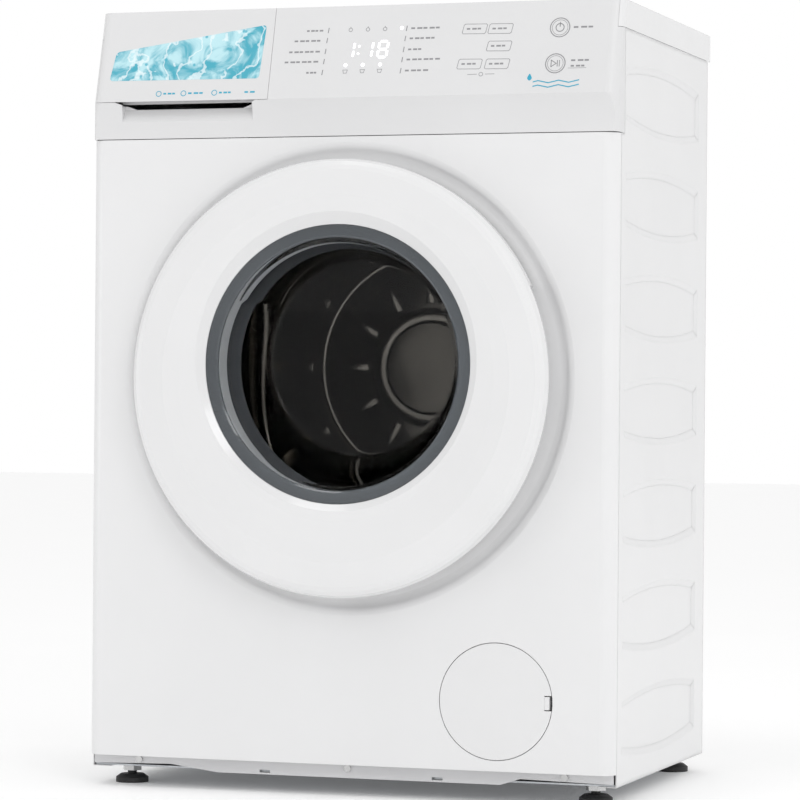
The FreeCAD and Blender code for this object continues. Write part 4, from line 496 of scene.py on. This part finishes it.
# -------------------------------------------------------------------- shaping
class Shape:
    """A mesh being modelled, in metres in the frame, that becomes one piece."""

    def __init__(self) -> None:
        """Start with nothing."""
        self.mesh = bmesh.new()

    def added(self, before: set[bmesh.types.BMVert]) -> list[bmesh.types.BMVert]:
        """Return the vertices that weren't in the mesh before."""
        return [vertex for vertex in self.mesh.verts if vertex not in before]

    def place(self, before: set[bmesh.types.BMVert], matrix: Matrix) -> Shape:
        """Move what was added since, by a matrix."""
        bmesh.ops.transform(self.mesh, matrix=matrix, verts=self.added(before))
        return self

    def block(self, low: Colour, high: Colour, radius: float = 0.0, matrix: Matrix | None = None) -> Shape:
        """Add a block with rounded edges.

        Args:
            low: its lowest corner in millimetres.
            high: its highest corner in millimetres.
            radius: the rounding of its edges in millimetres.
            matrix: where the block's own space lies in the frame.

        Returns:
            This shape.
        """
        before = set(self.mesh.verts)
        size = [(b - a) * MM for a, b in zip(low, high)]
        middle = [(a + b) / 2 * MM for a, b in zip(low, high)]
        where = (matrix or Matrix()) @ Matrix.Translation(middle) @ Matrix.Diagonal((*size, 1.0))
        bmesh.ops.create_cube(self.mesh, size=1.0, matrix=where)
        if radius:
            edges = {edge for vertex in self.added(before) for edge in vertex.link_edges}
            bmesh.ops.bevel(self.mesh, geom=list(edges), offset=radius * MM, offset_type="OFFSET",
                            segments=3, profile=0.5, affect="EDGES", material=-1, clamp_overlap=True)
        return self

    def rod(self, start: Colour, end: Colour, radius: float, matrix: Matrix | None = None,
            sides: int = 24) -> Shape:
        """Add a round rod between two points.

        Args:
            start: one end in millimetres.
            end: the other end in millimetres.
            radius: the rod's radius in millimetres.
            matrix: where the rod's own space lies in the frame.
            sides: how many flats make its round.

        Returns:
            This shape.
        """
        first = Vector(start) * MM
        last = Vector(end) * MM
        turn = (last - first).to_track_quat("Z", "Y").to_matrix().to_4x4()
        where = (matrix or Matrix()) @ Matrix.Translation((first + last) / 2) @ turn
        bmesh.ops.create_cone(self.mesh, cap_ends=True, segments=sides, radius1=radius * MM,
                              radius2=radius * MM, depth=(last - first).length, matrix=where)
        return self

    def lathe(self, outline: list[tuple[float, float]], centre: Colour = (0.0, 0.0, 0.0), steps: int = 128,
              closed: bool = True, matrix: Matrix | None = None) -> Shape:
        """Spin an outline of (radius, y) points a full turn about the Y axis.

        Args:
            outline: the section's points in millimetres.
            centre: where the axis stands in millimetres.
            steps: how many steps make the turn.
            closed: whether the outline's last point joins its first.
            matrix: where the shape's own space lies in the frame.

        Returns:
            This shape.
        """
        before = set(self.mesh.verts)
        points = [self.mesh.verts.new((radius * MM, depth * MM, 0.0)) for radius, depth in outline]
        pairs = list(zip(points, points[1:] + points[:1])) if closed else list(zip(points, points[1:]))
        edges = [self.mesh.edges.new(pair) for pair in pairs]
        bmesh.ops.spin(self.mesh, geom=points + edges, cent=(0, 0, 0), axis=(0, 1, 0), angle=math.tau,
                       steps=steps, use_merge=True, use_duplicate=False)
        added = self.added(before)
        bmesh.ops.remove_doubles(self.mesh, verts=added, dist=0.00001)
        where = (matrix or Matrix()) @ Matrix.Translation(Vector(centre) * MM)
        return self.place(before, where)

    def ring(self, centre: tuple[float, float], radius: float, width: float, depth: float,
             matrix: Matrix) -> Shape:
        """Add a thin flat ring standing proud of the surface that matrix lays in X and Z."""
        half = width / 2
        inner, outer = radius - half, radius + half
        outline = [(inner, 0.0), (outer, 0.0), (outer, -depth), (inner, -depth)]
        return self.lathe(outline, (centre[0], 0.0, centre[1]), steps=48, matrix=matrix)

    def patch(self, corners: list[tuple[float, float]], depth: float, matrix: Matrix, radius: float = 0.0,
              segments: int = 6) -> Shape:
        """Add a thin flat patch with rounded corners.

        Args:
            corners: its (x, z) corners in order, in millimetres.
            depth: how far it stands proud, in millimetres.
            matrix: where the patch's own space lies in the frame.
            radius: the rounding of its corners.
            segments: how many steps each corner has.

        Returns:
            This shape.
        """
        before = set(self.mesh.verts)
        points = [self.mesh.verts.new((x * MM, 0.0, z * MM)) for x, z in corners]
        bmesh.ops.contextual_create(self.mesh, geom=points)
        if radius:
            bmesh.ops.bevel(self.mesh, geom=points, offset=radius * MM, offset_type="OFFSET",
                            segments=segments, profile=0.5, affect="VERTICES", material=-1)
        face = next(face for vertex in self.added(before) for face in vertex.link_faces)
        extruded = bmesh.ops.extrude_face_region(self.mesh, geom=[face], use_keep_orig=True)
        moved = [item for item in extruded["geom"] if isinstance(item, bmesh.types.BMVert)]
        bmesh.ops.translate(self.mesh, vec=(0.0, -depth * MM, 0.0), verts=moved)
        return self.place(before, matrix)

    def frame(self, corners: list[tuple[float, float]], width: float, depth: float, matrix: Matrix,
              cut: float = 0.0) -> Shape:
        """Add a thin outline of bars along the sides of a shape, with its corners cut off."""
        if cut:
            points = [Vector(corner) for corner in corners]
            ends = zip(points[-1:] + points[:-1], points, points[1:] + points[:1])
            corners = [tuple(middle + (side - middle).normalized() * cut)
                       for before, middle, after in ends for side in (before, after)]
        for (ax, az), (bx, bz) in zip(corners, corners[1:] + corners[:1]):
            length = math.hypot(bx - ax, bz - az)
            turn = Matrix.Rotation(math.atan2(az - bz, bx - ax), 4, "Y")
            here = matrix @ Matrix.Translation((ax * MM, 0.0, az * MM)) @ turn
            self.block((-width / 2, -depth, -width / 2), (length + width / 2, 0.0, width / 2), matrix=here)
        return self

    def save(self, name: str, palette: Palette, finish: str, body: str, slot: str, sharp: float = 35.0,
             replaced: tuple[str, ...] = ()) -> bpy.types.Object:
        """Turn the mesh into a dressed piece that rides on a body.

        Args:
            name: the piece's name.
            palette: where the finish comes from.
            finish: the finish's name.
            body: the CAD body that carries the piece; empty for a piece that rides on no body.
            slot: the record's material slot; not used.
            sharp: edges that turn more than this many degrees stay crisp.
            replaced: CAD nodes that the piece stands for.

        Returns:
            The new object.
        """
        bmesh.ops.recalc_face_normals(self.mesh, faces=self.mesh.faces)
        data = bpy.data.meshes.new(name)
        self.mesh.to_mesh(data)
        self.mesh.free()
        data.shade_smooth()
        data.set_sharp_from_angle(angle=math.radians(sharp))
        piece = bpy.data.objects.new(name, data)
        bpy.context.scene.collection.objects.link(piece)
        palette.dress(piece, finish)
        if body:
            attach(piece, body)
        if replaced:
            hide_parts(*replaced)
        LOG.info("%s: %d faces in %s", name, len(data.polygons), finish)
        return piece


@dataclass
class Carried:
    """CAD nodes that keep their own shape and take a finish."""

    palette: Palette
    nodes: dict[str, bpy.types.Object]
    finishes: dict[str, tuple[str, ...]]

    def dress(self) -> None:
        """Give each named node its finish."""
        for finish, names in self.finishes.items():
            for name in names:
                self.palette.dress(self.nodes[name], finish)
                LOG.info("%s: %s", name, finish)


# --------------------------------------------------------------- control head
@dataclass
class ControlHead:
    """The leaning control face with its display, printing and drawer film."""

    palette: Palette
    face_foot: Colour = (0.0, -191.0, 749.0)
    lean: float = 14.97
    proud: float = 0.12
    key_corners: tuple[tuple[float, float, float, float], ...] = (
        (123.0, 149.0, 69.0, 80.0), (151.5, 177.5, 68.6, 79.6), (151.5, 177.5, 49.0, 60.0),
        (120.5, 146.5, 29.4, 40.4), (151.0, 177.0, 28.9, 39.9))
    rows: tuple[float, ...] = (77.0, 65.5, 53.0, 41.5, 29.0)
    left_labels: tuple[float, ...] = (-54.0, -67.0, -72.0, -76.0, -50.0)
    right_labels: tuple[float, ...] = (99.0, 94.0, 80.0, 101.0, 89.0)
    digit_height: float = 18.0
    digit_width: float = 10.0
    digit_foot: float = 45.0
    digit_lean: float = 0.08
    power_centre: tuple[float, float] = (230.0, 73.4)
    start_centre: tuple[float, float] = (228.0, 33.2)
    knob_ring: float = 10.6

    @property
    def face(self) -> Matrix:
        """Return the space of the leaning face: X along it, Z up its slope, Y into it."""
        leaning = Matrix.Rotation(-math.radians(self.lean), 4, "X")
        return Matrix.Translation(Vector(self.face_foot) * MM) @ leaning

    def bar(self, ink: Shape, x0: float, x1: float, u: float, height: float) -> None:
        """Add one printed bar."""
        ink.block((x0, -self.proud, u - height / 2), (x1, 0.0, u + height / 2), matrix=self.face)

    def words(self, ink: Shape, x0: float, x1: float, u: float, pieces: int) -> None:
        """Add a row of short bars that stands for a line of print."""
        step = (x1 - x0) / pieces
        for index in range(pieces):
            start = x0 + index * step
            self.bar(ink, start, start + step * (0.62 + 0.2 * (index % 2)), u, 1.9)

    def tick(self, ink: Shape, x: float, u: float) -> None:
        """Add one slanted programme mark."""
        slanted = [(x - 0.9, u - 3.0), (x + 0.1, u - 3.0), (x + 0.7, u + 3.0), (x - 0.3, u + 3.0)]
        ink.patch(slanted, self.proud, self.face)

    def print_labels(self) -> None:
        """Print the programme marks, their labels and the small symbols."""
        ink = Shape()
        for row, (u, left, right) in enumerate(zip(self.rows, self.left_labels, self.right_labels)):
            self.tick(ink, -29.0 - row * 0.65, u)
            self.words(ink, left, -34.5 - row * 0.65, u, 2 + int((-34.5 - left) // 9))
            self.tick(ink, 59.6 - row * 0.65, u)
            self.words(ink, 64.5 - row * 0.65, right, u, 2 + int((right - 64.5) // 9))
        for x in (-4.0, 15.6, 35.0):
            ink.ring((x, 77.0), 2.0, 0.6, self.proud, self.face)
            self.bar(ink, x - 0.3, x + 0.3, 79.6, 1.6)
        for x in (-6.0, 13.5, 33.0):
            basin = [(x - 2.6, 31.2), (x - 1.6, 27.6), (x + 1.6, 27.6), (x + 2.6, 31.2)]
            ink.frame(basin, 0.5, self.proud, self.face)
        for x, u, reach in ((242.0, 73.4, 27.0), (242.0, 36.2, 25.0), (242.0, 30.0, 20.0)):
            self.words(ink, x + 3.0, x + reach, u, 3)
        self.bar(ink, 242.0, 262.0, 27.6, 0.4)
        ink.save("control_labels", self.palette, "grey_ink", "cabinet", "grey_plastic")

    def print_keys(self) -> None:
        """Print the outlines of the touch keys and the two ringed keys."""
        ink = Shape()
        slant = 1.0
        for x0, x1, low, high in self.key_corners:
            corners = [(x0 - slant, low), (x1 - slant, low - 0.4),
                       (x1 + slant, high - 0.4), (x0 + slant, high)]
            ink.frame(corners, 0.55, self.proud, self.face, cut=1.3)
            self.words(ink, x0 + 4.0, x1 - 4.0, (low + high) / 2, 3)
        ink.ring((147.0, 23.0), 2.1, 0.6, self.proud, self.face)
        for start, end in ((132.0, 142.5), (151.5, 162.0)):
            self.bar(ink, start, end, 23.0, 0.5)
        for centre in (self.power_centre, self.start_centre):
            ink.ring(centre, self.knob_ring, 1.0, self.proud, self.face)
            ink.ring(centre, self.knob_ring - 2.1, 0.45, self.proud, self.face)
        x, u = self.power_centre
        ink.ring((x, u), 4.4, 1.0, self.proud, self.face)
        self.bar(ink, x - 0.5, x + 0.5, u + 3.6, 5.4)
        x, u = self.start_centre
        ink.frame([(x - 4.6, u - 3.6), (x + 1.0, u), (x - 4.6, u + 3.6)], 0.8, self.proud, self.face)
        for offset in (2.2, 4.4):
            self.bar(ink, x + offset - 0.4, x + offset + 0.4, u, 7.2)
        ink.save("touch_key_outlines", self.palette, "grey_ink", "cabinet", "grey_plastic")

    def digit(self, lamp: Shape, x: float, segments: str) -> None:
        """Add one seven-segment figure.

        Args:
            lamp: the shape that takes the segments.
            x: the figure's left side.
            segments: the lit segments by their usual letters.
        """
        low = self.digit_foot
        half = self.digit_height / 2
        bar = 1.1
        right = x + self.digit_width
        level = {"a": low + 2 * half, "g": low + half, "d": low}
        upright = {"b": (right, low + half), "c": (right, low), "e": (x, low), "f": (x, low + half)}
        for name in segments:
            if name in level:
                u = level[name]
                slant = (u - low) * self.digit_lean
                ends = [(x + 1.2 + slant, u - bar), (right - 1.2 + slant, u - bar),
                        (right - 1.2 + slant, u + bar), (x + 1.2 + slant, u + bar)]
            else:
                side, foot = upright[name]
                slant = (foot - low) * self.digit_lean
                ends = [(side - bar + slant, foot + 1.4), (side + bar + slant, foot + 1.4),
                        (side + bar + slant + 0.6, foot + half - 1.4),
                        (side - bar + slant + 0.6, foot + half - 1.4)]
            lamp.patch(ends, self.proud, self.face, radius=0.7, segments=3)

    def light_display(self) -> None:
        """Light the time display and its lamps."""
        lamp = Shape()
        self.digit(lamp, -9.0, "bc")
        for u in (49.5, 58.0):
            x = 6.6 + (u - self.digit_foot) * self.digit_lean
            lamp.rod((x, 0.0, u), (x, -self.proud, u), 1.2, self.face)
        self.digit(lamp, 12.0, "bc")
        self.digit(lamp, 29.0, "abcdefg")
        for x in (-6.0, 13.5, 33.0):
            lamp.rod((x, 0.0, 36.7), (x, -self.proud, 36.7), 1.9, self.face)
        lamp.rod((54.0, 0.0, 77.7), (54.0, -self.proud, 77.7), 1.9, self.face)
        lamp.save("time_display", self.palette, "white_lamp", "cabinet", "glass")

    def lay_drawer_film(self) -> None:
        """Lay the printed water film on the drawer front, with its row of small marks."""
        film = Shape()
        corners = [(-279.0, 24.6), (-104.0, 24.0), (-101.0, 85.5), (-274.0, 58.0)]
        film.patch(corners, self.proud, self.face, radius=4.0)
        film.save("drawer_film", self.palette, "water_print", "drawer", "blue_plastic")
        ink = Shape()
        for index, x in enumerate((-219.0, -190.0, -154.0)):
            ink.ring((x, 8.6), 2.9, 0.8, self.proud, self.face)
            self.words(ink, x + 5.5, x + 21.0 + 4.0 * (index == 1), 8.6, 3)
        self.words(ink, -119.0, -106.0, 8.6, 2)
        ink.save("drawer_marks", self.palette, "teal_ink", "drawer", "blue_plastic")

    def print_wave(self) -> None:
        """Print a drop over a double wave under the start key."""
        ink = Shape()
        for row in range(2):
            for index in range(9):
                phase = index * math.pi / 2
                x = 205.0 + index * 5.6
                u = 8.0 + row * 5.0 + 1.3 * math.sin(phase)
                rise = 1.3 * (math.sin(phase + math.pi / 2) - math.sin(phase))
                ends = [(x, u - 0.6), (x + 5.6, u + rise - 0.6), (x + 5.6, u + rise + 0.6), (x, u + 0.6)]
                ink.patch(ends, self.proud, self.face)
        drop = [(201.0, 14.0), (204.0, 17.0), (201.0, 23.0), (198.0, 17.0)]
        ink.patch(drop, self.proud, self.face, radius=1.6)
        ink.save("wave_mark", self.palette, "teal_ink", "cabinet", "blue_plastic")

    def build(self) -> None:
        """Make every printed and lit piece of the head."""
        self.print_labels()
        self.print_keys()
        self.light_display()
        self.lay_drawer_film()
        self.print_wave()


# ----------------------------------------------------------------------- door
@dataclass
class DoorSeal:
    """The rubber bellows between the front panel and the floating tub."""

    palette: Palette
    centre: Colour = (0.0, -188.0, 463.0)
    panel_hole: float = 165.0
    dish: float = 7.0
    tub_face: float = 42.0
    lip: float = 133.0

    def section(self) -> list[tuple[float, float]]:
        """Return the section of the bellows: bead, folds and inner lip."""
        hole = self.panel_hole
        front = self.dish - 2.4
        rear = self.tub_face - 6.0
        outside = [(hole - 6.0, front), (hole + 1.5, front), (hole + 3.0, front + 0.8),
                   (hole + 3.0, self.dish - 0.3),
                   (hole - 0.3, self.dish - 0.2), (hole - 0.6, 12.0), (hole - 3.5, 15.0), (hole - 0.6, 18.5),
                   (hole - 0.6, 22.0), (hole - 3.5, 25.0), (hole - 0.6, 28.5), (hole - 0.6, rear)]
        inside = [(self.lip + 3.0, rear), (self.lip, rear - 1.2), (self.lip, rear - 3.0),
                  (self.lip + 3.0, rear - 4.2), (hole - 14.0, rear - 4.6), (hole - 9.0, rear - 6.4),
                  (hole - 6.2, 26.5), (hole - 9.2, 24.0), (hole - 9.4, 21.5), (hole - 6.4, 19.5),
                  (hole - 6.2, 16.5), (hole - 9.0, 14.0), (hole - 9.0, 11.5), (hole - 6.4, 9.0)]
        return outside + inside

    def build(self) -> None:
        """Make the bellows."""
        shape = Shape()
        shape.lathe(self.section(), self.centre, steps=144)
        # The seal's near-black rubber is painted shade inside the door.
        seal = shape.save("seal_bellows", self.palette, "seal_rubber", "", "seal_rubber", sharp=60.0,
                          replaced=("door_gasket",))
        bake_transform(seal)


@dataclass
class TubSprings:
    """The two coil springs that the tub hangs from."""

    palette: Palette
    places: tuple[float, float] = (-240.5, 240.5)
    depth: float = 87.0
    low: float = 645.5
    high: float = 792.5
    coil_radius: float = 7.4
    wire: float = 1.5
    turns: int = 24
    hook: float = 20.0

    def coil(self, shape: Shape, x: float) -> None:
        """Wind one spring between its two hooks.

        Args:
            shape: the shape that takes the spring.
            x: where the spring's axis stands.
        """
        steps = self.turns * 20
        span = self.high - self.low - 2 * self.hook
        before = set(shape.mesh.verts)
        section = bmesh.ops.create_circle(shape.mesh, segments=8, radius=self.wire * MM, cap_ends=False,
                                          matrix=Matrix.Translation((self.coil_radius * MM, 0, 0)) @ UPRIGHT)
        edges = list({edge for vertex in section["verts"] for edge in vertex.link_edges})
        bmesh.ops.spin(shape.mesh, geom=section["verts"] + edges, cent=(0, 0, 0), axis=(0, 0, 1),
                       dvec=(0, 0, span * MM / steps), angle=math.tau * self.turns, steps=steps,
                       use_merge=False, use_duplicate=False)
        loose = [edge for edge in shape.mesh.edges if edge.is_boundary]
        bmesh.ops.holes_fill(shape.mesh, edges=loose)
        base = self.low + self.hook
        shape.place(before, Matrix.Translation(Vector((x, self.depth, base)) * MM))
        for end, inner in ((self.low + self.wire, base), (self.high - self.wire, self.high - self.hook)):
            shape.rod((x, self.depth, end), (x, self.depth, inner), self.wire)
            side = x + self.coil_radius
            shape.rod((x, self.depth, inner), (side, self.depth, inner), self.wire)

    def build(self) -> None:
        """Make both springs."""
        shape = Shape()
        for x in self.places:
            self.coil(shape, x)
        springs = shape.save("coil_springs", self.palette, "screw_steel", "", "bearing_steel",
                             replaced=("suspension_springs",))
        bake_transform(springs)


@dataclass
class DoorBowl:
    """The thick pressed glass bowl, whose floor sits higher than its mouth."""

    palette: Palette
    mouth_centre: Colour = (0.0, -188.0, 463.0)
    rim: float = 147.6
    mouth: float = 134.0
    floor: float = 112.0
    rim_front: float = -28.0
    rim_back: float = -24.4
    bottom: float = 59.6
    rise: float = 9.0
    wall: float = 4.0
    round: float = 9.0

    def section(self) -> list[tuple[float, float]]:
        """Return the half section from the outer middle to the inner middle."""
        outer = [(0.0, self.bottom)]
        inner = []
        for step in range(7):
            angle = math.pi / 2 * step / 6
            swing = self.round * math.sin(angle)
            drop = self.round * (1 - math.cos(angle))
            outer.append((self.floor - self.round + swing, self.bottom - drop))
            inner.append((self.floor - self.round + swing * 0.56 - 0.6,
                          self.bottom - self.wall - drop * 0.56))
        outer += [(self.mouth - 1.2, self.rim_back + 4.0), (self.mouth + 2.0, self.rim_back),
                  (self.rim, self.rim_back), (self.rim, self.rim_front)]
        front = [(self.mouth - 1.0, self.rim_front), (self.mouth - self.wall, self.rim_front + 1.5)]
        return outer + front + inner[::-1] + [(0.0, self.bottom - self.wall)]

    def build(self) -> None:
        """Spin the bowl, then lean its floor upwards."""
        shape = Shape()
        shape.lathe(self.section(), self.mouth_centre, steps=144, closed=False)
        front = (self.mouth_centre[1] + self.rim_back) * MM
        depth = (self.bottom - self.rim_back) * MM
        for vertex in shape.mesh.verts:
            part = min(1.0, max(0.0, (vertex.co.y - front) / depth))
            vertex.co.z += self.rise * MM * part
        bmesh.ops.remove_doubles(shape.mesh, verts=shape.mesh.verts, dist=0.00002)
        shape.save("door_glass_bowl", self.palette, "bowl_glass", "door", "glass", sharp=50.0,
                   replaced=("door_glass",))


@dataclass
class DrumBack:
    """The pressed star and water holes on the drum's rear wall."""

    palette: Palette
    centre: Colour = (0.0, -188.0, 463.0)
    face: float = 295.0
    reach: float = 205.0
    ribs: int = 12

    def build(self) -> None:
        """Make raised ribs and rings on the drum's rear wall."""
        shape = Shape()
        for radius, width in ((60.0, 9.0), (132.0, 6.0), (self.reach, 8.0)):
            low = self.face - 1.6
            section = [(radius - width, self.face), (radius - width / 2, low), (radius + width / 2, low),
                       (radius + width, self.face)]
            shape.lathe(section, self.centre, steps=96)
        for index in range(self.ribs):
            turn = Matrix.Translation(Vector(self.centre) * MM) @ Matrix.Rotation(
                math.tau * index / self.ribs, 4, "Y")
            shape.block((-5.0, self.face - 1.4, 74.0), (5.0, self.face, 124.0), radius=0.6, matrix=turn)
            shape.block((-7.0, self.face - 1.4, 142.0), (7.0, self.face, 192.0), radius=0.6, matrix=turn)
        shape.save("drum_back_pressing", self.palette, "lifter_steel_painted_shade", "drum", "stainless")


# ---------------------------------------------------------------------- stage
@dataclass
class Studio:
    """The plain floor, the soft lights and the camera."""

    eye: Colour = (1213.9, -3679.6, 426.3)
    yaw: float = -0.31897
    pitch: float = -0.0002
    roll: float = 0.00817
    lens: float = 155.27
    sky: float = 0.825
    side_lift: float = 0.16
    top_lift: float = 0.10
    backdrop: float = 1.0
    floor_lift: float = 0.07

    def floor(self) -> None:
        """Lay a plain pale floor."""
        mesh = bmesh.new()
        bmesh.ops.create_grid(mesh, x_segments=4, y_segments=4, size=14.0)
        data = bpy.data.meshes.new("floor")
        mesh.to_mesh(data)
        mesh.free()
        floor = bpy.data.objects.new("floor", data)
        bpy.context.scene.collection.objects.link(floor)
        material = bpy.data.materials.new("floor_white")
        material.use_nodes = True
        wire = Wiring(material.node_tree)
        shader = material.node_tree.nodes["Principled BSDF"]
        pale = wire.mix(wire.noise(3.0), (0.97, 0.97, 0.97), (0.99, 0.99, 0.99))
        wire.feed(shader.inputs["Base Color"], pale)
        shader.inputs["Roughness"].default_value = 0.9
        shader.inputs["Specular IOR Level"].default_value = 0.1
        shader.inputs["Emission Color"].default_value = (1.0, 1.0, 1.0, 1.0)
        shader.inputs["Emission Strength"].default_value = self.floor_lift
        data.materials.append(material)

    def lights(self) -> None:
        """Hang soft lights and set the sky."""
        world = bpy.data.worlds.new("studio_sky")
        world.use_nodes = True
        wire = Wiring(world.node_tree)
        background = world.node_tree.nodes["Background"]
        coordinate = wire.add("TexCoord")
        split = wire.add("SeparateXYZ", {"Vector": coordinate.outputs["Generated"]})
        across = wire.maths("MULTIPLY", split.outputs["X"], self.side_lift)
        over = wire.maths("MULTIPLY", split.outputs["Z"], self.top_lift)
        lit = wire.maths("ADD", wire.maths("ADD", across, over), self.sky)
        path = wire.add("LightPath")
        seen = wire.add("Mix", {"Factor": path.outputs["Is Camera Ray"]}, data_type="FLOAT")
        wire.feed(seen.inputs["A"], lit)
        seen.inputs["B"].default_value = self.backdrop
        background.inputs["Color"].default_value = (1.0, 1.0, 1.0, 1.0)
        wire.feed(background.inputs["Strength"], seen.outputs["Result"])
        bpy.context.scene.world = world
        target = Vector((0.0, 0.0, 0.45))
        for name, place, size, power in (("key_panel", (2.4, -3.2, 2.6), 1.4, 19.0),
                                         ("top_panel", (-0.6, -1.2, 3.4), 1.2, 10.0),
                                         ("side_strip", (-2.6, -1.9, 0.5), 0.7, 3.0)):
            light = bpy.data.lights.new(name, "AREA")
            light.energy = power
            light.size = size
            holder = bpy.data.objects.new(name, light)
            holder.location = place
            holder.rotation_euler = (target - holder.location).to_track_quat("-Z", "Y").to_euler()
            bpy.context.scene.collection.objects.link(holder)

    def camera(self) -> None:
        """Stand the camera where the machine is seen from its right."""
        level = math.cos(self.pitch)
        forward = Vector((math.sin(self.yaw) * level, math.cos(self.yaw) * level, math.sin(self.pitch)))
        right = Vector((math.cos(self.yaw), -math.sin(self.yaw), 0.0))
        upward = right.cross(forward)
        cosine, sine = math.cos(self.roll), math.sin(self.roll)
        rolled = cosine * right + sine * upward
        raised = cosine * upward - sine * right
        turn = Matrix((rolled, raised, -forward)).transposed().to_4x4()
        data = bpy.data.cameras.new("viewpoint")
        data.lens = self.lens
        data.sensor_width = 36.0
        data.clip_end = 100.0
        camera = bpy.data.objects.new("viewpoint", data)
        camera.matrix_world = Matrix.Translation(Vector(self.eye) * MM) @ turn
        bpy.context.scene.collection.objects.link(camera)
        bpy.context.scene.camera = camera

    def build(self) -> None:
        """Set up the whole studio."""
        self.floor()
        self.lights()
        self.camera()
        bpy.context.scene.view_settings.view_transform = "Standard"


CARRIED = {
    "white_enamel": ("front_panel", "rear_panel"),
    "pressed_enamel": ("side_panel_left", "side_panel_right"),
    "white_gloss": ("top_cover", "door_ring", "filter_cover", "filter_housing"),
    "fascia_grey": ("control_fascia", "drawer_front"),
    "pale_plastic": ("base_strip", "drawer_grip_rail", "transit_caps", "door_frame",
                     "rear_fittings"),
    "tray_plastic": ("drawer_tray", "dispenser_housing"),
    "dark_plastic": ("door_lock", "drain_pump", "filter_plug", "pressure_switch", "damper_cylinders",
                     "pump_impeller"),
    "tub_plastic": ("tub_front", "tub_rear"),
    "zinc_sheet": ("rear_service_cover", "frame_bars", "base_tray", "hinge_bracket"),
    "screw_steel": ("cabinet_screws", "door_screws", "tub_fasteners", "gasket_clamp", "foot_lock_nuts",
                    "door_hook"),
    "ground_steel": ("drum_bearings", "damper_rods", "heater", "motor_pulley"),
    "drum_steel_painted_shade": ("drum_shell",),
    "lifter_steel_painted_shade": ("drum_lifters",),
    "cast_metal": ("drum_spider", "drum_pulley", "door_hinge_arm"),
    "cast_concrete": ("counterweights",),
    "black_rubber": ("drive_belt", "drain_hoses", "water_hoses", "foot_front_left", "foot_front_right",
                     "foot_rear_left", "foot_rear_right"),
    "bowl_glass": ("door_glass",),
    "smoked_ring": ("window_bezel",),
    "motor_enamel": ("motor_housing",),
    "blue_plastic": ("inlet_valve", "siphon_cap"),
    "board_lacquer": ("control_board",),
}


def main() -> None:
    """Load the frame, build and dress each sub-assembly, and log every piece."""
    logging.basicConfig(level=logging.INFO, format="%(name)s %(message)s")
    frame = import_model()
    palette = Palette()
    Studio().build()
    Carried(palette, frame["nodes"], CARRIED).dress()
    ControlHead(palette).build()
    DoorSeal(palette).build()
    TubSprings(palette).build()
    DoorBowl(palette).build()
    DrumBack(palette).build()


if __name__ == "__main__":
    main()
